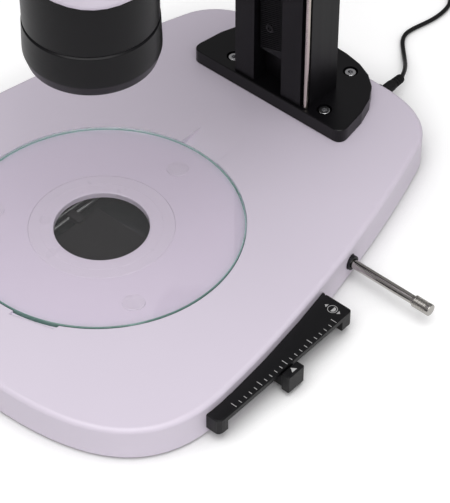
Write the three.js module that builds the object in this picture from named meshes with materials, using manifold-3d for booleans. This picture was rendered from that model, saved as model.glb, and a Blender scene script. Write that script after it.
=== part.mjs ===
// Stereo microscope on a track stand with a slim transmitted-light base.
// Millimetres, +Z up, +Y towards the column, +X to the user's right.
// The origin is where the optical axis meets the top face of the stage glass.

import * as THREE from 'three';
import { mergeVertices } from 'three/addons/utils/BufferGeometryUtils.js';
import Module from 'manifold-3d';

const wasm = await Module();
wasm.setup();

// ---------------------------------------------------------------- dimensions

const GAP = 0.3;                       // clearance kept wherever two pieces meet in a cut

// Heights, measured from the top face of the stage glass
const TABLE = -26;                     // what the feet stand on
const BASE_BOTTOM = -24;               // lower rim of the base casting
const BASE_TOP = -0.8;                 // upper face of the base casting
const GLASS_THICKNESS = 5;
const RECESS_FLOOR = -5.3;             // floor of the recess that holds the glass
const FLOOR_UNDERSIDE = -9;            // the same floor seen from inside the base
const RAIL_Z = -14.6;                  // contrast slider's guide rails
const MASK_TOP = -14.2;
const ROD_Z = -12.5;                   // selector rod's axis

// Base
const BASE_WALL = 5;
const BASE_FILLET = 3.2;
const GLASS_RADIUS = 90;
const RECESS_RADIUS = 90.6;
const WINDOW_RADIUS = 30;
const STAGE_RING_RADIUS = 46;
const FOOT_RADIUS = 11;
const FOOT_SPOTS = [[108, -92], [-108, -92], [76, 182], [-76, 182]];
const PAD_RADIUS = 6.75;
const PAD_CIRCLE = 70;
const PAD_ANGLES = [90, 210, 330];
const NOTCH_WIDTH = 30;
const NOTCH_END = 108.5;               // outer end of the rear finger notch
const BRIGHT_Y = -30;                  // brightness knob's axis
const SWITCH_X = -46;                  // middle of the power switch

// Oblique-contrast slider
const SLIDER_Y = -8.3;                 // middle of the slider's travel
const SLIDER_TRAVEL = 45;              // each way
const RAIL_X = [-27.1, -32.2];
const RAIL_RADIUS = 1.1;
const RAIL_ENDS = [-116, 78];          // middles of the bosses that hold the rails
const SCALE_OUTER_X = 160;
const SCALE_BACK_Y = 51.8;
const SCALE_FRONT_Y = -69.2;
const SCALE_TOP = -8;
const SCALE_PLATE = 4;
const SCALE_FOOT = -20;                // underside of the scale bar's legs
const KNOB_OUTER_X = 167;

// Diffuser slide and its rod
const ROD_Y = 86.5;
const ROD_RADIUS = 2.9;
const ROD_END_X = 193;
const ROD_TIP_LENGTH = 12.5;
const DIFFUSER_X = 48;                 // centre of the diffuser when the rod is out
const DIFFUSER_RADIUS = 25;

// Column
const FOOT_PLATE_TOP = 9.7;
const FOOT_PLATE_FRONT = 154.5;
const FOOT_PLATE_BACK = 219.8;
const FOOT_PLATE_HALF = 64;
const SCREW_SPOTS = [[41.6, 165.4], [-37.7, 166.6], [30, 206], [-30, 206]];
const COLUMN_HALF = 33.5;
const COLUMN_FRONT = 156.5;
const COLUMN_BACK = 190;
const COLUMN_TOP = 345;
const CHANNEL_HALF = 11.7;
const CHANNEL_DEPTH = 12;
const GUIDE_RODS = [[-30.2, 162.9], [31.7, 158.2]];   // in the column's front corners
const GUIDE_RADIUS = 1.5;
const RACK_HALF = 10;
const RACK_BOTTOM = 37;
const RACK_FRONT = 159.6;
const TOOTH_PITCH = Math.PI * 2;
const TOOTH_HEIGHT = 2;

// Focusing carriage
const PINION_Z = 250;
const PINION_RADIUS = 8;               // pitch radius, which sets the travel per turn
const PINION_Y = RACK_FRONT - PINION_RADIUS - TOOTH_HEIGHT / 2 - GAP;
const CARRIAGE_HALF = 50;
const CARRIAGE_BOTTOM = 205;
const CARRIAGE_TOP = 300;
const CARRIAGE_FRONT = 106;

// Head
const OBJECTIVE_BOTTOM = 137.1;
const OBJECTIVE_RADIUS = 40.8;
const SEAM_Z = 165.8;                  // joint between the lower ring and the barrel
const BARREL_RADIUS = 39.9;
const BODY_BOTTOM = 214;
const BODY_TOP = 326;
const BODY_HALF = 56;
const BODY_FRONT = -52;
const BODY_BACK = 60;
const COLLAR_RADIUS = 44;
const COLLAR_TOP = 338;
const ZOOM_Z = 285;
const ZOOM_Y = 8;
const HEAD_BOTTOM = 338.5;
const HEAD_TOP = 392;
const HEAD_HALF = 50;
const TUBE_TILT = THREE.MathUtils.degToRad(45);
const TUBE_FACE = new THREE.Vector3(0, -32, 372);     // middle of the sloping front face
const DRUM_SPACING = 24;               // each prism drum's axis from the middle
const DRUM_RADIUS = 21;
const TUBE_OFFSET = 18;                // eyepiece axis from its drum's axis
const TUBE_ANGLE = THREE.MathUtils.degToRad(63.6);    // sets 64 mm between the eyes
const PHOTO_Y = 14;

// Mains adapter lead
const CORD_RADIUS = 1.5;
const CORD_Z = TABLE + CORD_RADIUS;    // centre line where it lies on the table
const INLET_X = 44;
const INLET_Z = -12;
const PLUG_END = 244;
const COIL_CENTRE = [-73, 327.8];
const COIL_RADIUS = 18;                // middle of the turns
const COIL_TURNS = 5;                  // turns side by side, in two layers

// ------------------------------------------------------------------ materials

function finish(color, roughness, metalness) {
  return new THREE.MeshStandardMaterial({ color, roughness, metalness });
}

const whitePaint = finish(0xd6ccdc, 0.38, 0.0);
const blackPaint = finish(0x1e1e20, 0.42, 0.0);
const blackPlastic = finish(0x2a2a2c, 0.5, 0.0);
const darkSteel = finish(0x38383a, 0.45, 0.8);
const steel = finish(0xb8b8b8, 0.25, 1.0);
const chrome = finish(0xd8d8d8, 0.12, 1.0);
const rubber = finish(0x151515, 0.85, 0.0);
const glass = finish(0xcfe0da, 0.05, 0.0);
const opal = finish(0xe8e8e4, 0.5, 0.0);
const stageWhite = finish(0xd9d2dc, 0.45, 0.0);

// ----------------------------------------------------------- solids and shapes

// A closed geometry as a manifold solid, turned outwards if its faces point in.
function solid(geometry) {
  const bare = geometry.clone();
  bare.deleteAttribute('normal');
  bare.deleteAttribute('uv');
  const merged = mergeVertices(bare, 1e-4);
  const vertices = merged.attributes.position.array;
  const triangles = Uint32Array.from(merged.index.array);
  if (signedVolume(vertices, triangles) < 0) {
    for (let i = 0; i < triangles.length; i += 3) {
      [triangles[i], triangles[i + 1]] = [triangles[i + 1], triangles[i]];
    }
  }
  return new wasm.Manifold(new wasm.Mesh({
    numProp: 3, vertProperties: Float32Array.from(vertices), triVerts: triangles,
  }));
}

function signedVolume(v, t) {
  const [a, b, c] = [new THREE.Vector3(), new THREE.Vector3(), new THREE.Vector3()];
  let sum = 0;
  for (let i = 0; i < t.length; i += 3) {
    a.fromArray(v, 3 * t[i]);
    b.fromArray(v, 3 * t[i + 1]);
    c.fromArray(v, 3 * t[i + 2]);
    sum += a.dot(b.cross(c));
  }
  return sum / 6;
}

function geometryOf(manifold) {
  const mesh = manifold.getMesh();
  const geometry = new THREE.BufferGeometry();
  geometry.setAttribute('position', new THREE.BufferAttribute(mesh.vertProperties.slice(), 3));
  geometry.setIndex(new THREE.BufferAttribute(mesh.triVerts.slice(), 1));
  geometry.computeVertexNormals();
  return geometry;
}

function join(...parts) {
  return parts.reduce((all, next) => all.add(next));
}

function cut(body, ...tools) {
  return tools.reduce((left, tool) => left.subtract(tool), body);
}

function box([x0, x1], [y0, y1], [z0, z1]) {
  const geometry = new THREE.BoxGeometry(x1 - x0, y1 - y0, z1 - z0);
  geometry.translate((x0 + x1) / 2, (y0 + y1) / 2, (z0 + z1) / 2);
  return solid(geometry);
}

// A cylinder, or a cone, between two points.
function rod(from, to, radius, endRadius = radius, sides = 20) {
  const a = new THREE.Vector3(...from);
  const b = new THREE.Vector3(...to);
  const along = b.clone().sub(a);
  const geometry = new THREE.CylinderGeometry(endRadius, radius, along.length(), sides);
  const turn = new THREE.Quaternion().setFromUnitVectors(
    new THREE.Vector3(0, 1, 0), along.clone().normalize());
  geometry.applyQuaternion(turn);
  geometry.translate(...a.add(b).multiplyScalar(0.5).toArray());
  return solid(geometry);
}

function disc([x, y], [z0, z1], radius, sides = 20) {
  return rod([x, y, z0], [x, y, z1], radius, radius, sides);
}

// A profile of [radius, distance] points turned about a line.
function turned(profile, from, direction, sides = 20) {
  const points = profile.map(([r, s]) => new THREE.Vector2(r, s));
  const geometry = new THREE.LatheGeometry(points, sides);
  const turn = new THREE.Quaternion().setFromUnitVectors(
    new THREE.Vector3(0, 1, 0), new THREE.Vector3(...direction).normalize());
  geometry.applyQuaternion(turn);
  geometry.translate(...from);
  return solid(geometry);
}

const UP = [0, 0, 1];

// A plan outline raised between two heights, with rounded edges when edge > 0.
function raised(outline, [z0, z1], edge = 0, steps = 1) {
  const shape = Array.isArray(outline) ? new THREE.Shape(outline) : outline;
  const geometry = new THREE.ExtrudeGeometry(shape, {
    depth: z1 - z0 - 2 * edge,
    bevelEnabled: edge > 0,
    bevelThickness: edge,
    bevelSize: edge,
    bevelOffset: -edge,
    bevelSegments: steps,
    curveSegments: 4,
  });
  geometry.translate(0, 0, z0 + edge);
  return solid(geometry);
}

// A profile in the YZ plane carried across from x0 to x1.
function across(points, [x0, x1], edge = 0) {
  const shape = new THREE.Shape(points.map(([y, z]) => new THREE.Vector2(y, z)));
  const geometry = new THREE.ExtrudeGeometry(shape, {
    depth: x1 - x0 - 2 * edge,
    bevelEnabled: edge > 0,
    bevelThickness: edge,
    bevelSize: edge,
    bevelOffset: -edge,
    bevelSegments: 1,
  });
  geometry.applyMatrix4(new THREE.Matrix4().makeBasis(
    new THREE.Vector3(0, 1, 0), new THREE.Vector3(0, 0, 1), new THREE.Vector3(1, 0, 0)));
  geometry.translate(x0 + edge, 0, 0);
  return solid(geometry);
}

function roundedRectangle([x0, x1], [y0, y1], r) {
  const shape = new THREE.Shape();
  shape.moveTo(x0 + r, y0);
  shape.lineTo(x1 - r, y0);
  shape.absarc(x1 - r, y0 + r, r, -Math.PI / 2, 0);
  shape.lineTo(x1, y1 - r);
  shape.absarc(x1 - r, y1 - r, r, 0, Math.PI / 2);
  shape.lineTo(x0 + r, y1);
  shape.absarc(x0 + r, y1 - r, r, Math.PI / 2, Math.PI);
  shape.lineTo(x0, y0 + r);
  shape.absarc(x0 + r, y0 + r, r, Math.PI, 1.5 * Math.PI);
  return shape;
}

// Points of a half outline (x >= 0), mirrored to a full one and moved in by inset.
function mirrored(half, inset = 0) {
  const left = half.slice(1, -1).reverse().map((p) => new THREE.Vector2(-p.x, p.y));
  const ring = [...half, ...left];
  return ring.map((point, i) => {
    const before = ring[(i + ring.length - 1) % ring.length];
    const after = ring[(i + 1) % ring.length];
    const along = after.clone().sub(before).normalize();
    return new THREE.Vector2(point.x - along.y * inset, point.y + along.x * inset);
  });
}

// The base in plan: broad and round at the front, tapering to the column.
function basePlan(inset = 0) {
  const path = new THREE.Path();
  path.moveTo(0, -138.2);
  path.quadraticCurveTo(27, -138.2, 52, -137.5);
  path.bezierCurveTo(124.3, -134, 156.5, -105, 149.6, -46.5);
  path.bezierCurveTo(146.2, 14, 127, 115, 103, 186);
  path.bezierCurveTo(97.5, 206, 80, 219, 50, 220);
  path.lineTo(0, 221.5);
  return mirrored(path.getPoints(6), inset);
}

function footPlan() {
  const path = new THREE.Path();
  path.moveTo(0, FOOT_PLATE_FRONT);
  path.lineTo(FOOT_PLATE_HALF - 6.5, FOOT_PLATE_FRONT);
  path.quadraticCurveTo(FOOT_PLATE_HALF + 0.6, FOOT_PLATE_FRONT, FOOT_PLATE_HALF, 162);
  path.bezierCurveTo(60, 208, 40, FOOT_PLATE_BACK, 0, FOOT_PLATE_BACK);
  return mirrored(path.getPoints(7));
}

// -------------------------------------------------------------------- assembly

const microscope = new THREE.Group();

function add(name, manifold, material) {
  const mesh = new THREE.Mesh(geometryOf(manifold), material);
  mesh.name = name;
  microscope.add(mesh);
}

// ------------------------------------------------------------------------ base

// A slope beside the glass, rising from a floor to the top of the base over its reach.
function finger(width, reach, floor) {
  const ramp = [[-4, floor], [1, floor], [reach, BASE_TOP], [reach, BASE_TOP + 2],
    [-4, BASE_TOP + 2]];
  return across(ramp, [-width / 2, width / 2]);
}

function rearNotch() {
  const reach = NOTCH_END - GLASS_RADIUS;
  return finger(NOTCH_WIDTH, reach, RECESS_FLOOR).translate([0.5, GLASS_RADIUS, 0]);
}

// The front notch is short and shallow, with sides that run front to back.
function frontNotch() {
  const turn = 17.4;
  const wedge = finger(60, 3, -2.6).translate([0, GLASS_RADIUS, 0]).rotate([0, 0, 180 + turn]);
  return wedge.intersect(box([12.8, 42.2], [-110, -60], [-12, 4]));
}

function railBoss(y) {
  return box([-36, -23.5], [y - 4, y + 4], [-16.5, BASE_TOP]);
}

function baseShell() {
  const body = raised(basePlan(), [BASE_BOTTOM - BASE_FILLET, BASE_TOP], BASE_FILLET, 2);
  const below = box([-200, 200], [-200, 260], [BASE_BOTTOM - 10, BASE_BOTTOM]);
  const recessFloor = disc([0, 0], [FLOOR_UNDERSIDE, 0], RECESS_RADIUS + 8, 32);
  const bosses = SCREW_SPOTS.map((spot) => disc(spot, [-16, 0], 7, 10));
  const hollow = cut(raised(basePlan(BASE_WALL), [BASE_BOTTOM - 5, BASE_TOP - BASE_WALL]),
    recessFloor, ...bosses, ...RAIL_ENDS.map(railBoss), rearNotch().translate([0, 1, -3]));
  const rails = RAIL_X.map((x) => rod([x, -119, RAIL_Z], [x, 81, RAIL_Z], RAIL_RADIUS + GAP,
    RAIL_RADIUS + GAP, 10));
  const travel = SLIDER_TRAVEL + 7;
  return cut(body, below, hollow,
    disc([0, 0], [RECESS_FLOOR, 5], RECESS_RADIUS, 44),
    disc([0, 0], [-7.8, 0], STAGE_RING_RADIUS, 32),
    disc([0, 0], [-20, 0], STAGE_RING_RADIUS - 7, 32),
    rearNotch(), frontNotch(),
    ...padSpots().map((spot) => disc(spot, [-7.5, 0], PAD_RADIUS + GAP, 16)),
    ...SCREW_SPOTS.map((spot) => disc(spot, [-13, 5], 2.5 + GAP, 12)),
    ...rails,
    box([120, 170], [SLIDER_Y - travel, SLIDER_Y + travel], [-17.4, -13]),
    rod([110, ROD_Y, ROD_Z], [170, ROD_Y, ROD_Z], 5.2, 5.2, 16),
    rod([INLET_X, 205, INLET_Z], [INLET_X, 240, INLET_Z], 5.8),
    box([SWITCH_X - 11, SWITCH_X + 11], [205, 240], [-19.5, -4.5]),
    rod([-170, BRIGHT_Y, INLET_Z], [-110, BRIGHT_Y, INLET_Z], 3.4));
}

function padSpots() {
  return PAD_ANGLES.map((degrees) => {
    const angle = THREE.MathUtils.degToRad(degrees);
    return [PAD_CIRCLE * Math.cos(angle), PAD_CIRCLE * Math.sin(angle)];
  });
}

function bottomCover() {
  return raised(basePlan(BASE_WALL + GAP), [-23.8, -22.2]);
}

function stageRing() {
  const outer = STAGE_RING_RADIUS - GAP;
  return turned([[WINDOW_RADIUS, -9.2], [38.6, -9.2], [38.6, -7.5], [outer, -7.5],
    [outer, RECESS_FLOOR], [38.6, RECESS_FLOOR], [38.3, RECESS_FLOOR - 0.3],
    [38, RECESS_FLOOR], [WINDOW_RADIUS + 0.8, RECESS_FLOOR],
    [WINDOW_RADIUS, RECESS_FLOOR - 0.8], [WINDOW_RADIUS, -9.2]], [0, 0, 0], UP, 28);
}

function stageGlass() {
  const bevel = 0.6;
  return turned([[0, -GLASS_THICKNESS], [GLASS_RADIUS - bevel, -GLASS_THICKNESS],
    [GLASS_RADIUS, -GLASS_THICKNESS + bevel], [GLASS_RADIUS, -bevel],
    [GLASS_RADIUS - bevel, 0], [0, 0]], [0, 0, 0], UP, 44);
}

function buildBase() {
  add('base_shell', baseShell(), whitePaint);
  add('bottom_cover', bottomCover(), blackPaint);
  FOOT_SPOTS.forEach(([x, y], i) => {
    const profile = [[0, TABLE], [FOOT_RADIUS - 1.4, TABLE], [FOOT_RADIUS, -24.4],
      [FOOT_RADIUS, -23.8], [0, -23.8]];
    add(`foot_${i + 1}`, turned(profile, [x, y, 0], UP, 16), rubber);
  });
  add('stage_ring', stageRing(), stageWhite);
  padSpots().forEach((spot, i) => {
    add(`stage_pad_${i + 1}`, disc(spot, [-7.5, -GLASS_THICKNESS], PAD_RADIUS, 16), stageWhite);
  });
  add('glass_plate', stageGlass(), glass);
  const panel = roundedRectangle([-52, 52], [-52, 52], 6);
  add('light_panel', raised(panel, [-21.9, -19.5]), opal);
}

// ------------------------------------------------- oblique-contrast slider

function contrastMask() {
  const y = SLIDER_Y;
  const plate = box([-19.9, 100], [y - 42, y + 24.5], [-16, MASK_TOP]);
  const arm = box([90, 152.5], [y - 6, y + 6], [-16.4, MASK_TOP]);
  const block = box([-29.6, -18.5], [y + 6.5, y + 12.6], [-16.5, -12.8]);
  const bore = rod([RAIL_X[0], -60, RAIL_Z], [RAIL_X[0], 60, RAIL_Z], RAIL_RADIUS + GAP);
  return cut(join(plate, arm, block), bore);
}

function contrastKnob() {
  const y = SLIDER_Y;
  const grip = raised(roundedRectangle([SCALE_OUTER_X + 1, KNOB_OUTER_X], [y - 7.2, y + 7.2], 1),
    [-22.8, -9], 0.8);
  const neck = box([152.8, SCALE_OUTER_X + 2], [y - 5.6, y + 5.6], [-21.6, -12.6]);
  return join(grip, neck);
}

// The bar's inner edge follows the side of the base.
function scaleBar() {
  const tip = new THREE.Shape();
  tip.moveTo(120, SCALE_BACK_Y);
  tip.lineTo(120, SCALE_FRONT_Y);
  tip.lineTo(SCALE_OUTER_X - 3.2, SCALE_FRONT_Y);
  tip.quadraticCurveTo(SCALE_OUTER_X + 0.4, SCALE_FRONT_Y, SCALE_OUTER_X + 0.4, SCALE_FRONT_Y + 4.7);
  tip.lineTo(SCALE_OUTER_X - 0.4, SCALE_BACK_Y - 2.4);
  tip.quadraticCurveTo(SCALE_OUTER_X - 0.4, SCALE_BACK_Y, SCALE_OUTER_X - 2.8, SCALE_BACK_Y);
  const whole = raised(tip, [SCALE_FOOT, SCALE_TOP], 0.7);
  const under = box([100, 175], [SLIDER_Y - 53.2, SLIDER_Y + 51.2],
    [SCALE_FOOT - 2, SCALE_TOP - SCALE_PLATE]);
  const side = raised(basePlan(-GAP), [-30, 10]);
  const chamfer = rod([139.4, SCALE_BACK_Y + 1, -30], [139.4, SCALE_BACK_Y + 1, 0], 2.4, 2.4, 4);
  return cut(whole, under, side, chamfer);
}

function buildContrastSlider() {
  add('oic_mask', contrastMask(), blackPaint);
  add('oic_knob', contrastKnob(), blackPlastic);
  add('oic_scale_bar', scaleBar(), blackPlastic);
  RAIL_X.forEach((x, i) => {
    add(`oic_rail_${i + 1}`, rod([x, -118, RAIL_Z], [x, 80, RAIL_Z], RAIL_RADIUS, RAIL_RADIUS, 10),
      steel);
  });
}

// ------------------------------------------------------- diffuser and its rod

function selectorRod() {
  const tip = ROD_END_X - ROD_TIP_LENGTH;
  const inner = 70;
  const profile = [[0, inner], [ROD_RADIUS, inner], [ROD_RADIUS, tip], [3.9, tip + 0.4]];
  for (let ring = 0; ring < 4; ring += 1) {
    const s = tip + 1.2 + ring * 2;
    profile.push([3.9, s], [3.3, s + 0.4], [3.3, s + 0.9], [3.9, s + 1.3]);
  }
  profile.push([3.9, ROD_END_X - 0.5], [3.4, ROD_END_X], [0, ROD_END_X]);
  return turned(profile, [0, ROD_Y, ROD_Z], [1, 0, 0], 12);
}

function rodBush() {
  const radius = 4.9;
  const bush = rod([118, ROD_Y, ROD_Z], [132.2, ROD_Y, ROD_Z], radius);
  return cut(bush, rod([110, ROD_Y, ROD_Z], [140, ROD_Y, ROD_Z], ROD_RADIUS + GAP));
}

function diffuserFrame() {
  const plan = roundedRectangle([DIFFUSER_X - 29, DIFFUSER_X + 29], [-29, ROD_Y + 5], 4);
  const plate = raised(plan, [-18.9, -16.9]);
  const lug = box([DIFFUSER_X + 16, 69.7], [ROD_Y - 5, ROD_Y + 5], [-18.9, FLOOR_UNDERSIDE - GAP]);
  return cut(join(plate, lug), disc([DIFFUSER_X, 0], [-30, 0], DIFFUSER_RADIUS, 24),
    box([DIFFUSER_X - 20, DIFFUSER_X + 2], [36, 72], [-30, 0]));
}

function buildDiffuser() {
  add('selector_rod', selectorRod(), chrome);
  add('rod_bush', rodBush(), darkSteel);
  add('diffuser_frame', diffuserFrame(), blackPaint);
  add('diffuser_glass', disc([DIFFUSER_X, 0], [-18.7, -17.1], DIFFUSER_RADIUS - GAP, 24), opal);
}

// --------------------------------------------------------- controls and inlet

function brightnessKnob() {
  const wall = -149;
  return turned([[0, -12], [2.9, -12], [2.9, 0.6], [8.4, 0.6], [9, 1.4], [8.2, 11], [7.2, 12],
    [0, 12]], [wall, BRIGHT_Y, INLET_Z], [-1, 0, 0]);
}

function powerSwitch() {
  const half = 10.5;
  return across([[216, -18.4], [220.4, -18.4], [223.3, -12], [222.6, -5.6], [216, -5.6]],
    [SWITCH_X - half, SWITCH_X + half]);
}

function dcJack() {
  const flange = rod([INLET_X, 221.6, INLET_Z], [INLET_X, 223.2, INLET_Z], 7);
  const barrel = rod([INLET_X, 206, INLET_Z], [INLET_X, 222, INLET_Z], 5.4);
  return cut(join(flange, barrel), rod([INLET_X, 210, INLET_Z], [INLET_X, 226, INLET_Z], 3.1));
}

function dcPlug() {
  const profile = [[0, 212], [2.75, 212], [2.75, 223.6], [3.5, 223.6], [3.8, 224.4], [3.8, 234],
    [3.5, 235]];
  for (let rib = 0; rib < 4; rib += 1) {
    const s = 235.4 + rib * 2.1;
    profile.push([3.4 - 0.07 * rib, s], [2.7, s + 0.3], [2.7, s + 0.9], [3.3 - 0.07 * rib, s + 1.2]);
  }
  profile.push([2.8, PLUG_END - 0.8], [1.9, PLUG_END], [0, PLUG_END]);
  return turned(profile, [INLET_X, 0, INLET_Z], [0, 1, 0], 10);
}

const CORD_POINTS = [
  [INLET_X, PLUG_END + 0.3, INLET_Z], [INLET_X, PLUG_END + 1.6, INLET_Z], [42.8, 248, -12.6],
  [40.1, 252.4, -13.9], [36.8, 257.4, -16.2], [32.3, 263.5, -19], [27.4, 269.3, -21.6],
  [22.7, 274.6, -23.6], [18.2, 279.4, CORD_Z], [14.6, 283.2, CORD_Z], [11.2, 287.2, CORD_Z],
  [8.7, 291.9, CORD_Z], [7.9, 296.8, CORD_Z], [8.4, 301.7, CORD_Z], [9.5, 307.1, CORD_Z],
  [12, 317, CORD_Z], [13, 327, CORD_Z], [12.2, 337, CORD_Z], [8.8, 345.5, CORD_Z],
  [1.8, 351.2, CORD_Z], [-8, 353.8, CORD_Z], [-20, 354.4, CORD_Z], [-34, 354.4, CORD_Z],
  [-47, 354.2, CORD_Z], [-60, 353.8, CORD_Z],
];

function powerCord() {
  const path = new THREE.CatmullRomCurve3(CORD_POINTS.map((p) => new THREE.Vector3(...p)));
  const section = new THREE.Shape();
  for (let side = 0; side < 8; side += 1) {
    const angle = side * Math.PI / 4;
    const at = [CORD_RADIUS * Math.cos(angle), CORD_RADIUS * Math.sin(angle)];
    if (side === 0) {
      section.moveTo(...at);
    } else {
      section.lineTo(...at);
    }
  }
  return solid(new THREE.ExtrudeGeometry(section, { steps: 32, extrudePath: path }));
}

function cordCoil() {
  const halfWidth = COIL_TURNS * CORD_RADIUS;
  const [inner, outer] = [COIL_RADIUS - halfWidth, COIL_RADIUS + halfWidth];
  const top = TABLE + 4 * CORD_RADIUS;
  const edge = 1.6;
  return turned([[inner, TABLE + edge], [inner + edge, TABLE], [outer - edge, TABLE],
    [outer, TABLE + edge], [outer, top - edge], [outer - edge, top], [inner + edge, top],
    [inner, top - edge], [inner, TABLE + edge]], [...COIL_CENTRE, 0], UP, 20);
}

function powerAdapter() {
  const axisY = COIL_CENTRE[1] + COIL_RADIUS + (COIL_TURNS - 1) * CORD_RADIUS;
  const leadZ = CORD_Z + 2 * CORD_RADIUS;
  const body = raised(roundedRectangle([-156, -105], [axisY - 21, axisY + 21], 6),
    [TABLE, TABLE + 29], 2.5);
  const relief = rod([-106, axisY, leadZ], [-90.5, axisY, leadZ], 4, 2.4, 12);
  const pins = [-9.5, 9.5].map((dy) => rod([-128, axisY + dy, TABLE + 28],
    [-128, axisY + dy, TABLE + 46], 2.2, 2.2, 12));
  return join(body, relief, ...pins);
}

function buildControls() {
  add('brightness_knob', brightnessKnob(), blackPlastic);
  add('power_switch', powerSwitch(), blackPlastic);
  add('dc_jack', dcJack(), blackPlastic);
  add('dc_plug', dcPlug(), rubber);
  add('power_cord', powerCord(), rubber);
  add('cord_coil', cordCoil(), rubber);
  add('power_adapter', powerAdapter(), blackPlastic);
}

// ---------------------------------------------------------------------- column

function columnFoot() {
  const holes = SCREW_SPOTS.flatMap((spot) => [
    disc(spot, [-5, 20], 2.5 + GAP, 12), disc(spot, [4.2, 20], 5.1, 16)]);
  return cut(raised(footPlan(), [BASE_TOP + 0.02, FOOT_PLATE_TOP], 0.5), ...holes);
}

function footScrew([x, y]) {
  const head = disc([x, y], [4.2, 9.2], 3.75, 16);
  const socket = disc([x, y], [6.4, 12], 2.3, 6);
  return cut(join(head, disc([x, y], [-12, 5], 2.5, 12)), socket);
}

// An aluminium section: a channel for the rack, and a notch in each front corner for a rod.
function columnPlan() {
  const floor = COLUMN_FRONT + CHANNEL_DEPTH;
  const points = [[-CHANNEL_HALF, COLUMN_FRONT], [-CHANNEL_HALF, floor], [CHANNEL_HALF, floor],
    [CHANNEL_HALF, COLUMN_FRONT], [28.2, COLUMN_FRONT], [28.2, COLUMN_FRONT + 3.6],
    [COLUMN_HALF, COLUMN_FRONT + 3.6], [COLUMN_HALF, COLUMN_BACK - 3],
    [COLUMN_HALF - 3, COLUMN_BACK], [3 - COLUMN_HALF, COLUMN_BACK],
    [-COLUMN_HALF, COLUMN_BACK - 3], [-COLUMN_HALF, COLUMN_FRONT + 8.2],
    [-27.9, COLUMN_FRONT + 8.2], [-27.9, COLUMN_FRONT]];
  return points.map(([x, y]) => new THREE.Vector2(x, y));
}

// Teeth face the user; the rack is a zigzag profile carried across the channel.
function focusRack() {
  const back = COLUMN_FRONT + CHANNEL_DEPTH;
  const teeth = Math.floor((COLUMN_TOP - 4 - RACK_BOTTOM) / TOOTH_PITCH);
  const profile = [[back, RACK_BOTTOM]];
  for (let tooth = 0; tooth < teeth; tooth += 1) {
    const z = RACK_BOTTOM + tooth * TOOTH_PITCH;
    profile.push([RACK_FRONT + TOOTH_HEIGHT, z], [RACK_FRONT, z + 0.35 * TOOTH_PITCH],
      [RACK_FRONT, z + 0.65 * TOOTH_PITCH]);
  }
  const top = RACK_BOTTOM + teeth * TOOTH_PITCH;
  profile.push([RACK_FRONT + TOOTH_HEIGHT, top], [back, top]);
  return across(profile, [-RACK_HALF, RACK_HALF]);
}

function buildColumn() {
  add('column_foot', columnFoot(), blackPaint);
  SCREW_SPOTS.forEach((spot, i) => add(`foot_screw_${i + 1}`, footScrew(spot), steel));
  add('column', raised(columnPlan(), [FOOT_PLATE_TOP, COLUMN_TOP]), blackPaint);
  ['left', 'right'].forEach((side, i) => {
    add(`guide_rod_${side}`, disc(GUIDE_RODS[i], [FOOT_PLATE_TOP + 0.3, COLUMN_TOP - 1],
      GUIDE_RADIUS, 12), steel);
  });
  add('focus_rack', focusRack(), darkSteel);
}

// ------------------------------------------------------------ focusing carriage

function focusHousing() {
  const half = CARRIAGE_HALF;
  const block = raised(roundedRectangle([-half, half], [CARRIAGE_FRONT, 178], 8),
    [CARRIAGE_BOTTOM, CARRIAGE_TOP], 2);
  const arm = raised(roundedRectangle([-34, 34], [BODY_BACK + GAP, CARRIAGE_FRONT + 12], 3),
    [CARRIAGE_BOTTOM + 18, CARRIAGE_TOP - 8], 2);
  const track = box([-COLUMN_HALF - 0.5, COLUMN_HALF + 0.5], [COLUMN_FRONT - 0.6, 200],
    [CARRIAGE_BOTTOM - 5, CARRIAGE_TOP + 5]);
  const shaft = rod([-60, PINION_Y, PINION_Z], [60, PINION_Y, PINION_Z], 5 + GAP);
  const pocket = rod([-11, PINION_Y, PINION_Z], [11, PINION_Y, PINION_Z], PINION_RADIUS + 2);
  return cut(join(block, arm), track, shaft, pocket);
}

function gearProfile(teeth, tipRadius, rootRadius) {
  const points = [];
  for (let i = 0; i < teeth; i += 1) {
    const angle = (i / teeth) * 2 * Math.PI;
    const quarter = Math.PI / 2 / teeth;
    [[-1.5, rootRadius], [-0.6, tipRadius], [0.6, tipRadius], [1.5, rootRadius]].forEach(([k, r]) => {
      points.push(new THREE.Vector2(r * Math.cos(angle + k * quarter),
        r * Math.sin(angle + k * quarter)));
    });
  }
  return points;
}

function focusPinion() {
  const teeth = Math.round(2 * Math.PI * PINION_RADIUS / TOOTH_PITCH);
  const gear = new THREE.ExtrudeGeometry(
    new THREE.Shape(gearProfile(teeth, PINION_RADIUS + 1, PINION_RADIUS - 1)),
    { depth: 18, bevelEnabled: false });
  gear.rotateY(Math.PI / 2);
  gear.translate(-9, PINION_Y, PINION_Z);
  const tube = rod([-64, PINION_Y, PINION_Z], [64, PINION_Y, PINION_Z], 5);
  const bore = rod([-70, PINION_Y, PINION_Z], [70, PINION_Y, PINION_Z], 3 + GAP);
  return cut(join(solid(gear), tube), bore);
}

function coarseKnob(sign) {
  const profile = [[0, 0], [14, 0], [15, 1], [15, 4], [25, 5], [26, 6], [26, 22], [24.5, 23.5],
    [0, 23.5]];
  const start = [sign * (CARRIAGE_HALF + 0.5), PINION_Y, PINION_Z];
  const grip = turned(profile, start, [sign, 0, 0], 24);
  const inside = rod([0, PINION_Y, PINION_Z], [sign * 64.3, PINION_Y, PINION_Z], 5 + GAP);
  const bore = rod([0, PINION_Y, PINION_Z], [sign * 90, PINION_Y, PINION_Z], 3 + GAP);
  return cut(grip, inside, bore);
}

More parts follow.
